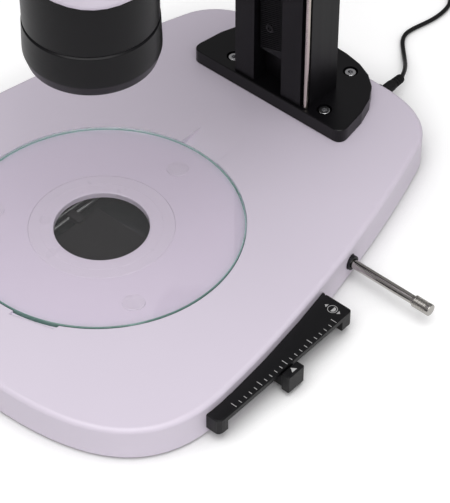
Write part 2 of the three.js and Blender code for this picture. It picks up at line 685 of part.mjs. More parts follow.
function fineKnob(sign) {
  const profile = [[0, 0], [17, 0], [18, 1], [18, 13], [16.5, 14.5], [10, 15], [0, 15]];
  const start = [sign * (CARRIAGE_HALF + 24.4), PINION_Y, PINION_Z];
  const grip = turned(profile, start, [sign, 0, 0]);
  const shaft = rod([sign * 0.5, PINION_Y, PINION_Z], [sign * 80, PINION_Y, PINION_Z], 3, 3, 12);
  return join(grip, shaft);
}

function buildFocus() {
  add('focus_housing', focusHousing(), blackPaint);
  add('focus_pinion', focusPinion(), steel);
  [['left', -1], ['right', 1]].forEach(([side, sign]) => {
    add(`coarse_knob_${side}`, coarseKnob(sign), blackPlastic);
    add(`fine_knob_${side}`, fineKnob(sign), blackPlastic);
  });
}

// ------------------------------------------------------------------ optical body

function zoomBody() {
  const plan = roundedRectangle([-BODY_HALF, BODY_HALF], [BODY_FRONT, BODY_BACK], 30);
  const inside = roundedRectangle([-BODY_HALF + 5, BODY_HALF - 5], [BODY_FRONT + 5, BODY_BACK - 5],
    25);
  const shell = raised(plan, [BODY_BOTTOM, BODY_TOP], 5, 2);
  const collar = disc([0, 0], [BODY_TOP - 2, COLLAR_TOP], COLLAR_RADIUS, 28);
  return cut(join(shell, collar), raised(inside, [BODY_BOTTOM + 6, BODY_TOP - 5]),
    disc([0, 0], [BODY_BOTTOM - 5, BODY_BOTTOM + 10], 30, 28),
    disc([0, 0], [BODY_TOP - 10, BODY_TOP + 3], 33, 28),
    disc([0, 0], [BODY_TOP + 2, COLLAR_TOP + 5], 38 + GAP, 28),
    rod([-70, ZOOM_Y, ZOOM_Z], [70, ZOOM_Y, ZOOM_Z], 4 + GAP),
    rod([30, 0, 332], [60, 0, 332], 2 + GAP, 2 + GAP, 16));
}

function zoomKnob(sign) {
  const profile = [[0, 0], [12, 0], [13, 1], [19, 4], [20, 5.5], [20, 17], [18.5, 18.5], [0, 18.5]];
  const start = [sign * (BODY_HALF + 0.4), ZOOM_Y, ZOOM_Z];
  const grip = turned(profile, start, [sign, 0, 0]);
  const shaft = rod([sign * 0.5, ZOOM_Y, ZOOM_Z], [sign * 60, ZOOM_Y, ZOOM_Z], 4, 4, 12);
  return join(grip, shaft);
}

// One plate carries the moving lens cell of each of the two channels.
function zoomCarriage() {
  const plate = raised(roundedRectangle([-42, 42], [-20, 20], 6), [230, 234]);
  const cells = [-13, 13].map((x) => disc([x, 0], [224, 244], 11.5, 16));
  const bores = [-13, 13].map((x) => disc([x, 0], [220, 250], 9, 16));
  return cut(join(plate, ...cells), ...bores);
}

function objectiveRing() {
  const r = OBJECTIVE_RADIUS;
  const z = OBJECTIVE_BOTTOM;
  return turned([[35.2, z + 1], [36, z], [r - 2.3, z], [r, z + 7.2], [r, z + 12],
    [BARREL_RADIUS + 0.3, SEAM_Z - 0.8], [BARREL_RADIUS - 0.3, SEAM_Z], [35.2, SEAM_Z],
    [35.2, z + 1]], [0, 0, 0], UP, 28);
}

function objectiveBarrel() {
  const seam = SEAM_Z + GAP;
  return turned([[30, 158], [34.9, 158], [34.9, seam], [BARREL_RADIUS - 0.3, seam],
    [BARREL_RADIUS, seam + 0.8], [BARREL_RADIUS, 205], [37, 212], [37, BODY_BOTTOM - 0.2],
    [29.7, BODY_BOTTOM - 0.2], [29.7, BODY_BOTTOM + 5.8], [27, BODY_BOTTOM + 5.8],
    [27, 165], [30, 162], [30, 158]], [0, 0, 0], UP, 28);
}

function objectiveLens() {
  return turned([[0, 145], [14, 145.7], [26, 147.6], [34.8, 150.5], [34.8, 157.6], [0, 157.6]],
    [0, 0, 0], UP, 28);
}

function buildOptics() {
  add('zoom_body', zoomBody(), whitePaint);
  [['left', -1], ['right', 1]].forEach(([side, sign]) => {
    add(`zoom_knob_${side}`, zoomKnob(sign), blackPlastic);
  });
  add('zoom_carriage', zoomCarriage(), darkSteel);
  add('objective_barrel', objectiveBarrel(), blackPaint);
  add('objective_ring', objectiveRing(), blackPaint);
  add('objective_lens', objectiveLens(), glass);
}

// ------------------------------------------------------------------------- head

const OUT = new THREE.Vector3(0, -Math.cos(TUBE_TILT), Math.sin(TUBE_TILT));
const RISE = new THREE.Vector3(0, Math.sin(TUBE_TILT), Math.cos(TUBE_TILT));

// A point s along the tubes, at x, and w up the sloping face.
function onFace(x, w, s) {
  const point = TUBE_FACE.clone().addScaledVector(RISE, w).addScaledVector(OUT, s);
  return [x, point.y, point.z];
}

function tubeAxis(sign) {
  return {
    x: sign * (DRUM_SPACING + TUBE_OFFSET * Math.cos(TUBE_ANGLE)),
    w: -TUBE_OFFSET * Math.sin(TUBE_ANGLE),
  };
}

const HEAD_PROFILE = [[42, HEAD_BOTTOM], [42, HEAD_TOP], [-12, HEAD_TOP], [-52, 352],
  [-52, 346], [-44, HEAD_BOTTOM]];

function headHousing() {
  const inner = [[37, HEAD_BOTTOM + 5], [37, HEAD_TOP - 5], [-12, HEAD_TOP - 5], [-44, 354],
    [-44, HEAD_BOTTOM + 5]];
  const shell = across(HEAD_PROFILE, [-HEAD_HALF, HEAD_HALF], 2.5);
  const spigot = disc([0, 0], [BODY_TOP + 2.4, HEAD_BOTTOM + 1], 38, 28);
  const windows = [-1, 1].map((sign) => rod(onFace(sign * DRUM_SPACING, 0, -16),
    onFace(sign * DRUM_SPACING, 0, 8), 12));
  return cut(join(shell, spigot), across(inner, [-HEAD_HALF + 5, HEAD_HALF - 5]), ...windows,
    disc([0, 0], [BODY_TOP - 5, HEAD_BOTTOM + 10], 30, 28),
    disc([0, PHOTO_Y], [HEAD_TOP - 10, HEAD_TOP + 5], 12, 20),
    rod([40, PHOTO_Y, 366], [70, PHOTO_Y, 366], 2.5 + GAP, 2.5 + GAP, 16));
}

function prismHousing(sign) {
  const { x, w } = tubeAxis(sign);
  const drumX = sign * DRUM_SPACING;
  const drum = rod(onFace(drumX, 0, GAP), onFace(drumX, 0, 26), DRUM_RADIUS, DRUM_RADIUS, 28);
  const tube = rod(onFace(x, w, 4), onFace(x, w, 56), 16.5, 16.5, 24);
  return cut(join(drum, tube), rod(onFace(drumX, 0, -5), onFace(drumX, 0, 20), 11, 11, 16),
    rod(onFace(x, w, 10), onFace(x, w, 60), 13.2, 13.2, 24));
}

function eyepiece(sign) {
  const { x, w } = tubeAxis(sign);
  const profile = [[0, 40], [12.8, 40], [12.8, 56.3], [15.2, 56.3], [15.2, 73], [16.8, 74],
    [17.4, 84], [18.6, 93], [18.6, 95], [15.5, 95], [13.5, 88], [11, 87], [0, 86]];
  return turned(profile, onFace(x, w, 0), OUT.toArray(), 20);
}

function diopterRing(sign) {
  const { x, w } = tubeAxis(sign);
  const profile = [[15.5, 58], [18.4, 58], [19, 58.8], [19, 69.2], [18.4, 70], [15.5, 70],
    [15.5, 58]];
  return turned(profile, onFace(x, w, 0), OUT.toArray(), 22);
}

function phototube() {
  return turned([[13, HEAD_TOP], [24, HEAD_TOP], [24, HEAD_TOP + 5], [20.5, HEAD_TOP + 6],
    [20.5, 440], [19.5, 441], [13, 441], [13, HEAD_TOP]], [0, PHOTO_Y, 0], UP, 24);
}

function pathSelector() {
  return turned([[0, 41], [2.5, 41], [2.5, 51.5], [4.6, 51.5], [5, 52.5], [5, 60], [4, 61],
    [0, 61]], [0, PHOTO_Y, 366], [1, 0, 0], 16);
}

function headLockScrew() {
  return turned([[0, 38.6], [2, 38.6], [2, 44.6], [5.5, 44.6], [6, 45.4], [6, 55], [5.2, 56],
    [0, 56]], [0, 0, 332], [1, 0, 0], 16);
}

function buildHead() {
  add('head_housing', headHousing(), whitePaint);
  [['left', -1], ['right', 1]].forEach(([side, sign]) => {
    add(`prism_housing_${side}`, prismHousing(sign), blackPaint);
    add(`eyepiece_${side}`, eyepiece(sign), blackPlastic);
    add(`diopter_ring_${side}`, diopterRing(sign), rubber);
  });
  add('phototube', phototube(), blackPaint);
  add('path_selector_rod', pathSelector(), steel);
  add('head_lock_screw', headLockScrew(), steel);
}

buildBase();
buildContrastSlider();
buildDiffuser();
buildControls();
buildColumn();
buildFocus();
buildOptics();
buildHead();

export default microscope;
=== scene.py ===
"""A stereo microscope on a track stand: fine surfaces, materials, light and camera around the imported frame.

Lengths are in millimetres until a mesh is made, in the frame's own axes: +Z up the optical axis,
+Y to the column.
"""

import math

import bmesh
import bpy
from mathutils import Matrix, Vector


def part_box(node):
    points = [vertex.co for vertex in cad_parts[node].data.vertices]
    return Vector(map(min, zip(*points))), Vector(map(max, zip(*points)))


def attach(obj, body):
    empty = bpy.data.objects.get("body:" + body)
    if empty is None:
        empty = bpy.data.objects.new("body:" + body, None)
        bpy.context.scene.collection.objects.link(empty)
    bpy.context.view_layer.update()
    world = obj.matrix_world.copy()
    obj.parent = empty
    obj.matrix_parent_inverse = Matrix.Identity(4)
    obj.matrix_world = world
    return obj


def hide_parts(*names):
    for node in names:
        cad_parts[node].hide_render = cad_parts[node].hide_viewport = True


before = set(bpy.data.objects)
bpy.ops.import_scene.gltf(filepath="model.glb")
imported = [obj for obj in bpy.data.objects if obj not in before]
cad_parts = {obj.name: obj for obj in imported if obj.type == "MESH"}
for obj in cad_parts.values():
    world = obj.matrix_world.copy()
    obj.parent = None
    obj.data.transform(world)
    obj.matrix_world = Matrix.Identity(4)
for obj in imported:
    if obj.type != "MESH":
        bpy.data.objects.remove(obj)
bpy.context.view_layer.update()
scene = bpy.context.scene
MM = 0.001


def low(node):
    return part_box(node)[0] / MM


def high(node):
    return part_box(node)[1] / MM


def middle(node):
    return (low(node) + high(node)) / 2


UP = Vector((0, 0, 1))
TABLE = low("foot_1").z
BASE_BOTTOM = low("base_shell").z
BASE_TOP = high("base_shell").z
GLASS_RADIUS = high("glass_plate").x
GLASS_BOTTOM = low("glass_plate").z
RECESS_RADIUS = GLASS_RADIUS + 0.6
RECESS_FLOOR = GLASS_BOTTOM - 0.3
RING_RADIUS = high("stage_ring").x + 0.3
WINDOW_RADIUS = 30
FLOOR_UNDERSIDE = -9
PADS = [middle(f"stage_pad_{i}") for i in (1, 2, 3)]
SCREWS = [middle(f"foot_screw_{i}") for i in (1, 2, 3, 4)]
RAILS = [middle(f"oic_rail_{i}") for i in (1, 2)]
SLIDER = middle("oic_knob")
ROD = middle("selector_rod")
JACK = middle("dc_jack")
SWITCH = middle("power_switch")
BRIGHT = middle("brightness_knob")
PINION = middle("focus_pinion")
ZOOM_AXIS = middle("zoom_knob_right")
CLAMP_Z = 332

# The head's sloping face: OUT along the eyepiece tubes, RISE up the slope, FACE a point on it.
TILT = math.radians(45)
OUT = Vector((0, -math.cos(TILT), math.sin(TILT)))
RISE = Vector((0, math.sin(TILT), math.cos(TILT)))
FACE = Vector((0, -32, 372))

# Each eyepiece tube stands off the axis of its prism drum, about which it swings.
DRUM_X = 24
TUBE_OFFSET = 18
TUBE_ANGLE = math.radians(63.6)
TUBE_X = DRUM_X + TUBE_OFFSET * math.cos(TUBE_ANGLE)
TUBE_W = -TUBE_OFFSET * math.sin(TUBE_ANGLE)

CORD_RADIUS = 1.5
SIDES = [("left", -1), ("right", 1)]


# ------------------------------------------------------------- camera


def aim(obj, spot, target):
    """Puts a camera or a lamp at a spot and points it at the target."""
    obj.location = spot
    obj.rotation_mode = "QUATERNION"
    obj.rotation_quaternion = (target - spot).to_track_quat("-Z", "Y")


def make_camera():
    azimuth, elevation, distance = math.radians(41.764), math.radians(44.638), 1.42966
    focal_pixels, long_side = 2328.66, 503
    target = Vector((0.074408, 0.031958, 0))
    back = Vector((
        math.sin(azimuth) * math.cos(elevation),
        -math.cos(azimuth) * math.cos(elevation),
        math.sin(elevation),
    ))
    data = bpy.data.cameras.new("camera")
    data.sensor_width = 36
    data.lens = data.sensor_width * focal_pixels / long_side
    data.clip_start, data.clip_end = 0.05, 20
    camera = bpy.data.objects.new("camera", data)
    scene.collection.objects.link(camera)
    aim(camera, target + back * distance, target)
    scene.camera = camera


# ------------------------------------------------------- node helpers


def srgb(red, green, blue):
    """A colour given as 0 to 255 on a screen, as the linear colour that shaders take."""
    return tuple(
        c / 255 / 12.92 if c / 255 <= 0.04045 else ((c / 255 + 0.055) / 1.055) ** 2.4
        for c in (red, green, blue)
    )


class Paint:
    """A Principled material with noise in its colour, roughness and bump."""

    def __init__(self, name, colour, roughness, metallic=0.0, **sockets):
        self.material = bpy.data.materials.new(name)
        self.material.use_nodes = True
        self.nodes = self.material.node_tree.nodes
        self.links = self.material.node_tree.links
        self.shader = self.nodes["Principled BSDF"]
        self.shader.inputs["Base Color"].default_value = (*colour, 1)
        self.shader.inputs["Roughness"].default_value = roughness
        self.shader.inputs["Metallic"].default_value = metallic
        for socket, value in sockets.items():
            self.shader.inputs[socket.replace("_", " ")].default_value = value
        self.colour = colour
        self.roughness = roughness
        self.normal = None
        self.material.diffuse_color = (*colour, 1)

    def node(self, kind, **settings):
        made = self.nodes.new(kind)
        for key, value in settings.items():
            setattr(made, key, value)
        return made

    def noise(self, scale, detail=3.0, stretch=(1, 1, 1)):
        """Noise with about `scale` blobs to the metre, in the frame's own coordinates."""
        where = self.node("ShaderNodeTexCoord")
        placed = self.node("ShaderNodeMapping")
        placed.inputs["Scale"].default_value = stretch
        pattern = self.node("ShaderNodeTexNoise")
        pattern.inputs["Scale"].default_value = scale
        pattern.inputs["Detail"].default_value = detail
        self.links.new(where.outputs["Object"], placed.inputs["Vector"])
        self.links.new(placed.outputs["Vector"], pattern.inputs["Vector"])
        return pattern.outputs["Fac"]

    def tint(self, pattern, change, other=None):
        """Varies the colour by the share `change` either way, or towards another colour."""
        mix = self.node("ShaderNodeMix", data_type="RGBA")
        first = tuple(c * (1 - change) for c in self.colour)
        second = other or tuple(min(1, c * (1 + change)) for c in self.colour)
        mix.inputs["A"].default_value = (*first, 1)
        mix.inputs["B"].default_value = (*second, 1)
        self.links.new(pattern, mix.inputs["Factor"])
        self.links.new(mix.outputs["Result"], self.shader.inputs["Base Color"])
        return self

    def polish(self, pattern, change):
        """Varies the roughness by `change` either way."""
        span = self.node("ShaderNodeMapRange")
        span.inputs["From Min"].default_value = 0.3
        span.inputs["From Max"].default_value = 0.7
        span.inputs["To Min"].default_value = max(0.02, self.roughness - change)
        span.inputs["To Max"].default_value = self.roughness + change
        self.links.new(pattern, span.inputs["Value"])
        self.links.new(span.outputs["Result"], self.shader.inputs["Roughness"])
        return self

    def bump(self, pattern, height, strength=1.0):
        """Raises the surface by up to `height` mm; a second bump rides on the first."""
        made = self.node("ShaderNodeBump")
        made.inputs["Distance"].default_value = height * MM
        made.inputs["Strength"].default_value = strength
        self.links.new(pattern, made.inputs["Height"])
        if self.normal:
            self.links.new(self.normal, made.inputs["Normal"])
        self.normal = made.outputs["Normal"]
        self.links.new(self.normal, self.shader.inputs["Normal"])
        return self


# ---------------------------------------------------------- materials


def sprayed(name, colour, roughness, coat=0.0, specular=0.5):
    """Sprayed enamel: faint orange peel, and slight unevenness in colour and gloss."""
    made = Paint(name, colour, roughness, Coat_Weight=coat, Coat_Roughness=0.12,
                 Specular_IOR_Level=specular)
    made.tint(made.noise(9, 2), 0.012)
    made.polish(made.noise(60, 4), 0.04)
    made.bump(made.noise(420, 2), 0.012)
    return made.material


def moulded(name, colour, roughness, height=0.03, specular=0.5):
    """Moulded plastic with a fine spark-eroded texture."""
    made = Paint(name, colour, roughness, Specular_IOR_Level=specular)
    made.tint(made.noise(40, 3), 0.12)
    made.polish(made.noise(700, 3), 0.06)
    made.bump(made.noise(1900, 3), height)
    return made.material


def anodised(name, colour, roughness, stretch):
    """Bead-blasted and dyed aluminium, with faint drawing lines along one direction."""
    made = Paint(name, colour, roughness, metallic=0.08, Specular_IOR_Level=0.24)
    made.tint(made.noise(30, 3), 0.15)
    made.polish(made.noise(160, 4, stretch), 0.05)
    made.bump(made.noise(1500, 2), 0.01)
    made.bump(made.noise(160, 3, stretch), 0.008)
    return made.material


def machined(name, colour, roughness, stretch, height=0.006):
    """Bare metal with fine tool marks, crowded along the directions that stretch favours."""
    made = Paint(name, colour, roughness, metallic=1.0)
    made.tint(made.noise(70, 3), 0.10)
    made.polish(made.noise(120, 4, stretch), 0.07)
    made.bump(made.noise(120, 3, stretch), height)
    return made.material


def rubbery(name, colour, roughness):
    made = Paint(name, colour, roughness, Specular_IOR_Level=0.3)
    made.tint(made.noise(60, 4), 0.25)
    made.polish(made.noise(300, 4), 0.08)
    made.bump(made.noise(1400, 4), 0.03)
    return made.material


def lamps_pass(made, shade):
    """Lets the lamps through a glass, which keeps `shade` of their light."""
    rays = made.node("ShaderNodeLightPath")
    either = made.node("ShaderNodeMath", operation="MAXIMUM")
    made.links.new(rays.outputs["Is Shadow Ray"], either.inputs[0])
    made.links.new(rays.outputs["Is Diffuse Ray"], either.inputs[1])
    clear = made.node("ShaderNodeBsdfTransparent")
    clear.inputs["Color"].default_value = (*shade, 1)
    mix = made.node("ShaderNodeMixShader")
    made.links.new(either.outputs["Value"], mix.inputs["Fac"])
    made.links.new(made.shader.outputs["BSDF"], mix.inputs[1])
    made.links.new(clear.outputs["BSDF"], mix.inputs[2])
    made.links.new(mix.outputs["Shader"], made.nodes["Material Output"].inputs["Surface"])


def glass_pane():
    """Float glass: it bends the view of what is under it, and mirrors a little of the room."""
    made = Paint("pane", srgb(255, 253, 255), 0.01, Transmission_Weight=1.0, IOR=1.5)
    made.polish(made.noise(30, 3), 0.006)
    lamps_pass(made, srgb(254, 253, 255))
    return made.material


def glass_rim():
    """The ground edge of the plate, where the green of the glass gathers."""
    made = Paint("glass_rim", srgb(150, 200, 186), 0.2, Transmission_Weight=0.62, IOR=1.5)
    made.tint(made.noise(26, 3), 0.12)
    made.bump(made.noise(900, 3), 0.01)
    lamps_pass(made, srgb(190, 220, 210))
    return made.material


def lens_coating():
    """A dark lens with a coated front that turns from violet to green with the angle."""
    made = Paint("lens_coating", srgb(18, 18, 30), 0.04, Coat_Weight=1.0, Coat_Roughness=0.03)
    facing = made.node("ShaderNodeLayerWeight")
    facing.inputs["Blend"].default_value = 0.35
    made.tint(facing.outputs["Facing"], 0.0, srgb(40, 70, 62))
    made.polish(made.noise(30, 2), 0.01)
    return made.material


def lit_floor():
    """A white sweep whose glow, seen by the camera only, dims where something stands close above it: a
    painted contact shadow.
    """
    made = Paint("studio_floor", (0.8, 0.8, 0.8), 0.9)
    made.shader.inputs["Specular IOR Level"].default_value = 0.0
    made.shader.inputs["Emission Color"].default_value = (1, 1, 1, 1)
    # Ambient occlusion paints the contact shadow: the floor's camera-seen glow fades near the parts above it.
    painted_shadow_ao = made.node("ShaderNodeAmbientOcclusion", samples=8)
    painted_shadow_ao.inputs["Distance"].default_value = 45 * MM
    rays = made.node("ShaderNodeLightPath")
    glow = made.node("ShaderNodeMapRange")
    glow.inputs["From Min"].default_value = 0.55
    glow.inputs["To Min"].default_value = 0.02
    glow.inputs["To Max"].default_value = 0.42
    seen = made.node("ShaderNodeMath", operation="MULTIPLY")
    made.links.new(painted_shadow_ao.outputs["AO"], seen.inputs[0])
    made.links.new(rays.outputs["Is Camera Ray"], seen.inputs[1])
    made.links.new(seen.outputs["Value"], glow.inputs["Value"])
    made.links.new(glow.outputs["Result"], made.shader.inputs["Emission Strength"])
    return made.material


LENGTHWISE = (1, 1, 0.02)
ROUND_Z = (0.03, 0.03, 12)
ROUND_X = (12, 0.03, 0.03)

paint = sprayed("white_enamel", srgb(219, 210, 224), 0.42, coat=0.1)
stage_white = sprayed("stage_enamel", srgb(219, 211, 223), 0.3, coat=0.25)
chamber = sprayed("chamber_black", srgb(17, 19, 19), 0.7)
black_paint = sprayed("black_enamel", srgb(12, 11, 14), 0.32, specular=0.28)
black_body = anodised("black_anodised", srgb(15, 14, 17), 0.38, LENGTHWISE)
black_barrel = anodised("black_barrel", srgb(15, 14, 17), 0.32, ROUND_Z)
mask_black = sprayed("mask_black", srgb(22, 22, 21), 0.5, specular=0.2)
plastic = moulded("black_plastic", srgb(15, 15, 17), 0.4, specular=0.3)
grip = rubbery("grip_rubber", srgb(30, 30, 32), 0.62)
rubber = rubbery("rubber", srgb(14, 14, 15), 0.6)
cable = rubbery("cable_pvc", srgb(14, 14, 15), 0.42)
steel = machined("bright_steel", srgb(196, 196, 198), 0.24, ROUND_Z)
rod_steel = machined("guide_rod_steel", srgb(206, 196, 188), 0.2, LENGTHWISE)
rail_steel = machined("rail_steel", srgb(206, 212, 206), 0.25, (1, 0.03, 1))
dark_steel = machined("dark_steel", srgb(52, 52, 54), 0.42, (1, 1, 1), 0.02)
chrome = machined("ground_chrome", srgb(188, 185, 180), 0.08, ROUND_X, 0.003)
smoked = moulded("smoked_cover", srgb(30, 34, 33), 0.2, 0.002)
opal = moulded("opal", srgb(208, 208, 204), 0.35, 0.004)
ink = moulded("white_ink", srgb(176, 176, 176), 0.5, 0.004)
pane = glass_pane()
rim = glass_rim()
lens = lens_coating()


# ------------------------------------------------------- mesh helpers


def new_object(name, vertices, faces, *materials):
    """A mesh from vertices in millimetres, with its faces turned outwards."""
    mesh = bpy.data.meshes.new(name)
    mesh.from_pydata([Vector(v) * MM for v in vertices], [], faces)
    for material in materials:
        mesh.materials.append(material)
    whole = bmesh.new()
    whole.from_mesh(mesh)
    bmesh.ops.recalc_face_normals(whole, faces=whole.faces)
    whole.to_mesh(mesh)
    whole.free()
    obj = bpy.data.objects.new(name, mesh)
    scene.collection.objects.link(obj)
    return obj


def rounded(points, steps=4):
    """Points (x, y) or (x, y, reach): a corner with a reach becomes a curve that starts that far away."""
    curve = []
    for i, point in enumerate(points):
        corner = Vector(point[:2])
        reach = point[2] if len(point) > 2 else 0
        if not reach:
            curve.append(corner)
            continue
        before = Vector(points[i - 1][:2]) - corner
        after = Vector(points[(i + 1) % len(points)][:2]) - corner
        reach = min(reach, 0.49 * before.length, 0.49 * after.length)
        start = corner + before.normalized() * reach
        end = corner + after.normalized() * reach
        for k in range(steps + 1):
            t = k / steps
            curve.append(start * (1 - t) ** 2 + corner * 2 * t * (1 - t) + end * t * t)
    return curve


def lathe(name, profile, material, origin=(0, 0, 0), direction=UP, sides=96, ripple=None, ring=False):
    """A profile of (radius, distance) turned about a line. A ring's profile closes on itself."""
    axis = Vector(direction).normalized()
    turn = UP.rotation_difference(axis).to_matrix()
    vertices, rows = [], []
    for radius, distance in rounded(profile):
        if radius < 1e-6:
            rows.append([len(vertices)] * sides)
            vertices.append(turn @ Vector((0, 0, distance)) + Vector(origin))
            continue
        rows.append(range(len(vertices), len(vertices) + sides))
        for k in range(sides):
            angle = 2 * math.pi * k / sides
            r = radius + (ripple(angle, radius, distance) if ripple else 0)
            spot = Vector((r * math.cos(angle), r * math.sin(angle), distance))
            vertices.append(turn @ spot + Vector(origin))
    faces = []
    pairs = list(zip(rows, rows[1:])) + ([(rows[-1], rows[0])] if ring else [])
    for lower, upper in pairs:
        for k in range(sides):
            n = (k + 1) % sides
            corners = [lower[k], lower[n], upper[n], upper[k]]
            faces.append(list(dict.fromkeys(corners)))
    return smooth(new_object(name, vertices, [f for f in faces if len(f) > 2], material))


def flutes(count, depth, start, end, least=0.0):
    """A ripple of rounded flutes cut into a grip between two distances along its axis."""

    def ripple(angle, radius, distance):
        inside = start <= distance <= end and radius > least
        return -depth * (0.5 + 0.5 * math.cos(count * angle)) ** 2 if inside else 0

    return ripple


def inset(outline, amount):
    """An anticlockwise outline moved in by that much, corners kept sharp."""
    count = len(outline)
    moved = []
    for i in range(count):
        before = (outline[i] - outline[i - 1]).normalized()
        after = (outline[(i + 1) % count] - outline[i]).normalized()
        first, second = Vector((-before.y, before.x)), Vector((-after.y, after.x))
        moved.append(outline[i] + (first + second) * (amount / (1 + first.dot(second))))
    return moved


PLAN = Matrix.Identity(3)
SIDE = Matrix(((0, 0, 1), (1, 0, 0), (0, 1, 0)))          # (y, z) outlines carried along x


def slab(name, outline, span, material, edges=(0.0, 0.0), basis=PLAN, steps=5):
    """An outline carried from span[0] to span[1], with its first and last edge rounded."""
    rings = []
    for end, edge, sign in ((span[0], edges[0], 1), (span[1], edges[1], -1)):
        turns = [k / steps * math.pi / 2 for k in range(steps + 1)] if edge else [math.pi / 2]
        arc = [(edge * (1 - math.sin(a)), end + sign * edge * (1 - math.cos(a))) for a in turns]
        rings += arc if sign > 0 else arc[::-1]
    count = len(outline)
    vertices = [basis @ Vector((*p, z)) for amount, z in rings for p in inset(outline, amount)]
    faces = [list(range(count))[::-1], list(range(len(vertices) - count, len(vertices)))]
    for r in range(len(rings) - 1):
        for k in range(count):
            n = (k + 1) % count
            faces.append([r * count + k, r * count + n, (r + 1) * count + n, (r + 1) * count + k])
    return smooth(new_object(name, vertices, faces, material))


def rectangle(x, y, corner=0.0):
    spots = [(x[0], y[0]), (x[1], y[0]), (x[1], y[1]), (x[0], y[1])]
    return rounded([(*p, corner) for p in spots], 8)


def disc(spot, span, radius, material=chamber, sides=48):
    """An upright cylinder at (x, y), between two heights."""
    profile = [(0, span[0]), (radius, span[0]), (radius, span[1]), (0, span[1])]
    return lathe("disc", profile, material, (spot[0], spot[1], 0), sides=sides)


def stick(start, end, radius, material=chamber, sides=48):
    """A cylinder from one point to another."""
    along = Vector(end) - Vector(start)
    profile = [(0, 0), (radius, 0), (radius, along.length), (0, along.length)]
    return lathe("stick", profile, material, start, along, sides)


def brick(x, y, z, material=chamber):
    return slab("brick", rectangle(x, y), z, material)


def smooth(obj, degrees=34):
    """Smooth shading that breaks at edges sharper than the angle."""
    obj.data.shade_smooth()
    obj.data.set_sharp_from_angle(angle=math.radians(degrees))
    if "even normals" not in obj.modifiers:
        obj.modifiers.new("even normals", "WEIGHTED_NORMAL").keep_sharp = True
    return obj


def combine(obj, operation, *tools):
    """Cuts tools from obj, adds them or keeps the shared part; new faces keep the tool's material."""
    obj.modifiers.clear()
    for tool in tools:
        tool.modifiers.clear()
        step = obj.modifiers.new("boolean", "BOOLEAN")
        step.operation, step.object, step.solver = operation, tool, "EXACT"
        step.material_mode = "TRANSFER"
    mesh = bpy.data.meshes.new_from_object(obj.evaluated_get(bpy.context.evaluated_depsgraph_get()))
    obj.modifiers.clear()
    obj.data = mesh
    for tool in tools:
        bpy.data.objects.remove(tool)
    return smooth(obj)


def soften(obj, width, steps=2, angle=34):
    """Rounds the sharp edges of a flat-faced piece by width mm."""
    obj.data.shade_smooth()
    obj.modifiers.clear()
    flat = obj.modifiers.new("flat faces", "DECIMATE")
    flat.decimate_type, flat.angle_limit = "DISSOLVE", math.radians(0.5)
    bevel = obj.modifiers.new("soft edges", "BEVEL")
    bevel.width, bevel.segments = width * MM, steps
    bevel.limit_method, bevel.angle_limit = "ANGLE", math.radians(angle)
    bevel.use_clamp_overlap = True
    obj.modifiers.new("even normals", "WEIGHTED_NORMAL")
    return obj


def place(obj, body, slot, *nodes):
    """The piece rides on a body and stands for these CAD nodes, which it hides; the slot argument is not
    used.
    """
    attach(obj, body)
    if nodes:
        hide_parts(*nodes)
    return obj


def keep(node, material, edge=0.0):
    """A CAD node that stays, with a finer finish."""
    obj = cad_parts[node]
    for held in obj.material_slots:
        held.material = material
    if edge:
        soften(obj, edge)
    return obj


# ----------------------------------------------- the low-voltage lead

LEAD_ROUTE = [
    (44, 244.3, -12), (42.5, 247.6, -12.4), (40.1, 252, -13.9), (36.8, 257.4, -16.2), (32.3, 263.5, -19),
    (27.4, 269.3, -21.6), (22.7, 274.6, -23.6), (18.2, 279.4, -24.5), (14.6, 283.2, -24.5),
    (11.2, 287.2, -24.5), (8.7, 291.9, -24.5), (7.9, 296.8, -24.5), (8.4, 301.7, -24.5),
    (9.5, 307.1, -24.5), (12, 317, -24.5), (13, 327, -24.5), (12.2, 337, -24.5), (8.8, 345.5, -24.5),
    (1.8, 351.2, -24.5), (-8, 353.8, -24.5), (-20, 354.4, -24.5), (-34, 354.4, -24.5),
    (-47, 354.2, -24.5), (-60, 353.8, -24.5), (-67, 352.7, -24.5),
]
COIL_MIDDLE = Vector((-73, 327.8))
COIL_RADIUS = 18
COIL_SPREAD = 4 * CORD_RADIUS                             # from the middle turn to the outermost
PER_TURN = 24


def coil_route():
    """Four turns inwards on the table, one that climbs, and four outwards on top of them."""
    bottom = TABLE + CORD_RADIUS
    pitch = 2 * CORD_RADIUS
    outermost = COIL_RADIUS + COIL_SPREAD
    points = []
    for step in range(9 * PER_TURN + 1):
        turn = step / PER_TURN
        rise = min(max(turn - 4, 0), 1)
        radius = outermost - pitch * min(turn, 4) + pitch * max(turn - 5, 0)
        radius -= 0.9 * math.sin(math.pi * rise)
        angle = math.radians(90) + 2 * math.pi * turn
        height = bottom + pitch * math.sin(math.pi / 2 * rise)
        spot = COIL_MIDDLE + radius * Vector((math.cos(angle), math.sin(angle)))
        points.append((spot.x, spot.y, height))
    return points


def make_lead():
    """The lead as one curve: its open run, the coil and the way into the adapter."""
    coil = coil_route()
    top = COIL_MIDDLE.y + COIL_RADIUS + COIL_SPREAD
    inlet = TABLE + 3 * CORD_RADIUS
    points = LEAD_ROUTE + coil + [(x, top, inlet) for x in (-80, -86, -92, -98, -104)]
    data = bpy.data.curves.new("power_lead", "CURVE")
    data.dimensions = "3D"
    data.bevel_depth, data.bevel_resolution, data.resolution_u = CORD_RADIUS * MM, 5, 3
    data.use_fill_caps = True
    spline = data.splines.new("NURBS")
    spline.points.add(len(points) - 1)
    for control, point in zip(spline.points, points):
        control.co = (*(Vector(point) * MM), 1)
    spline.order_u = 4
    spline.use_endpoint_u = True
    data.materials.append(cable)
    lead = bpy.data.objects.new("power_lead", data)
    scene.collection.objects.link(lead)
    place(lead, "stand", "rubber", "power_cord", "cord_coil")
    return lead


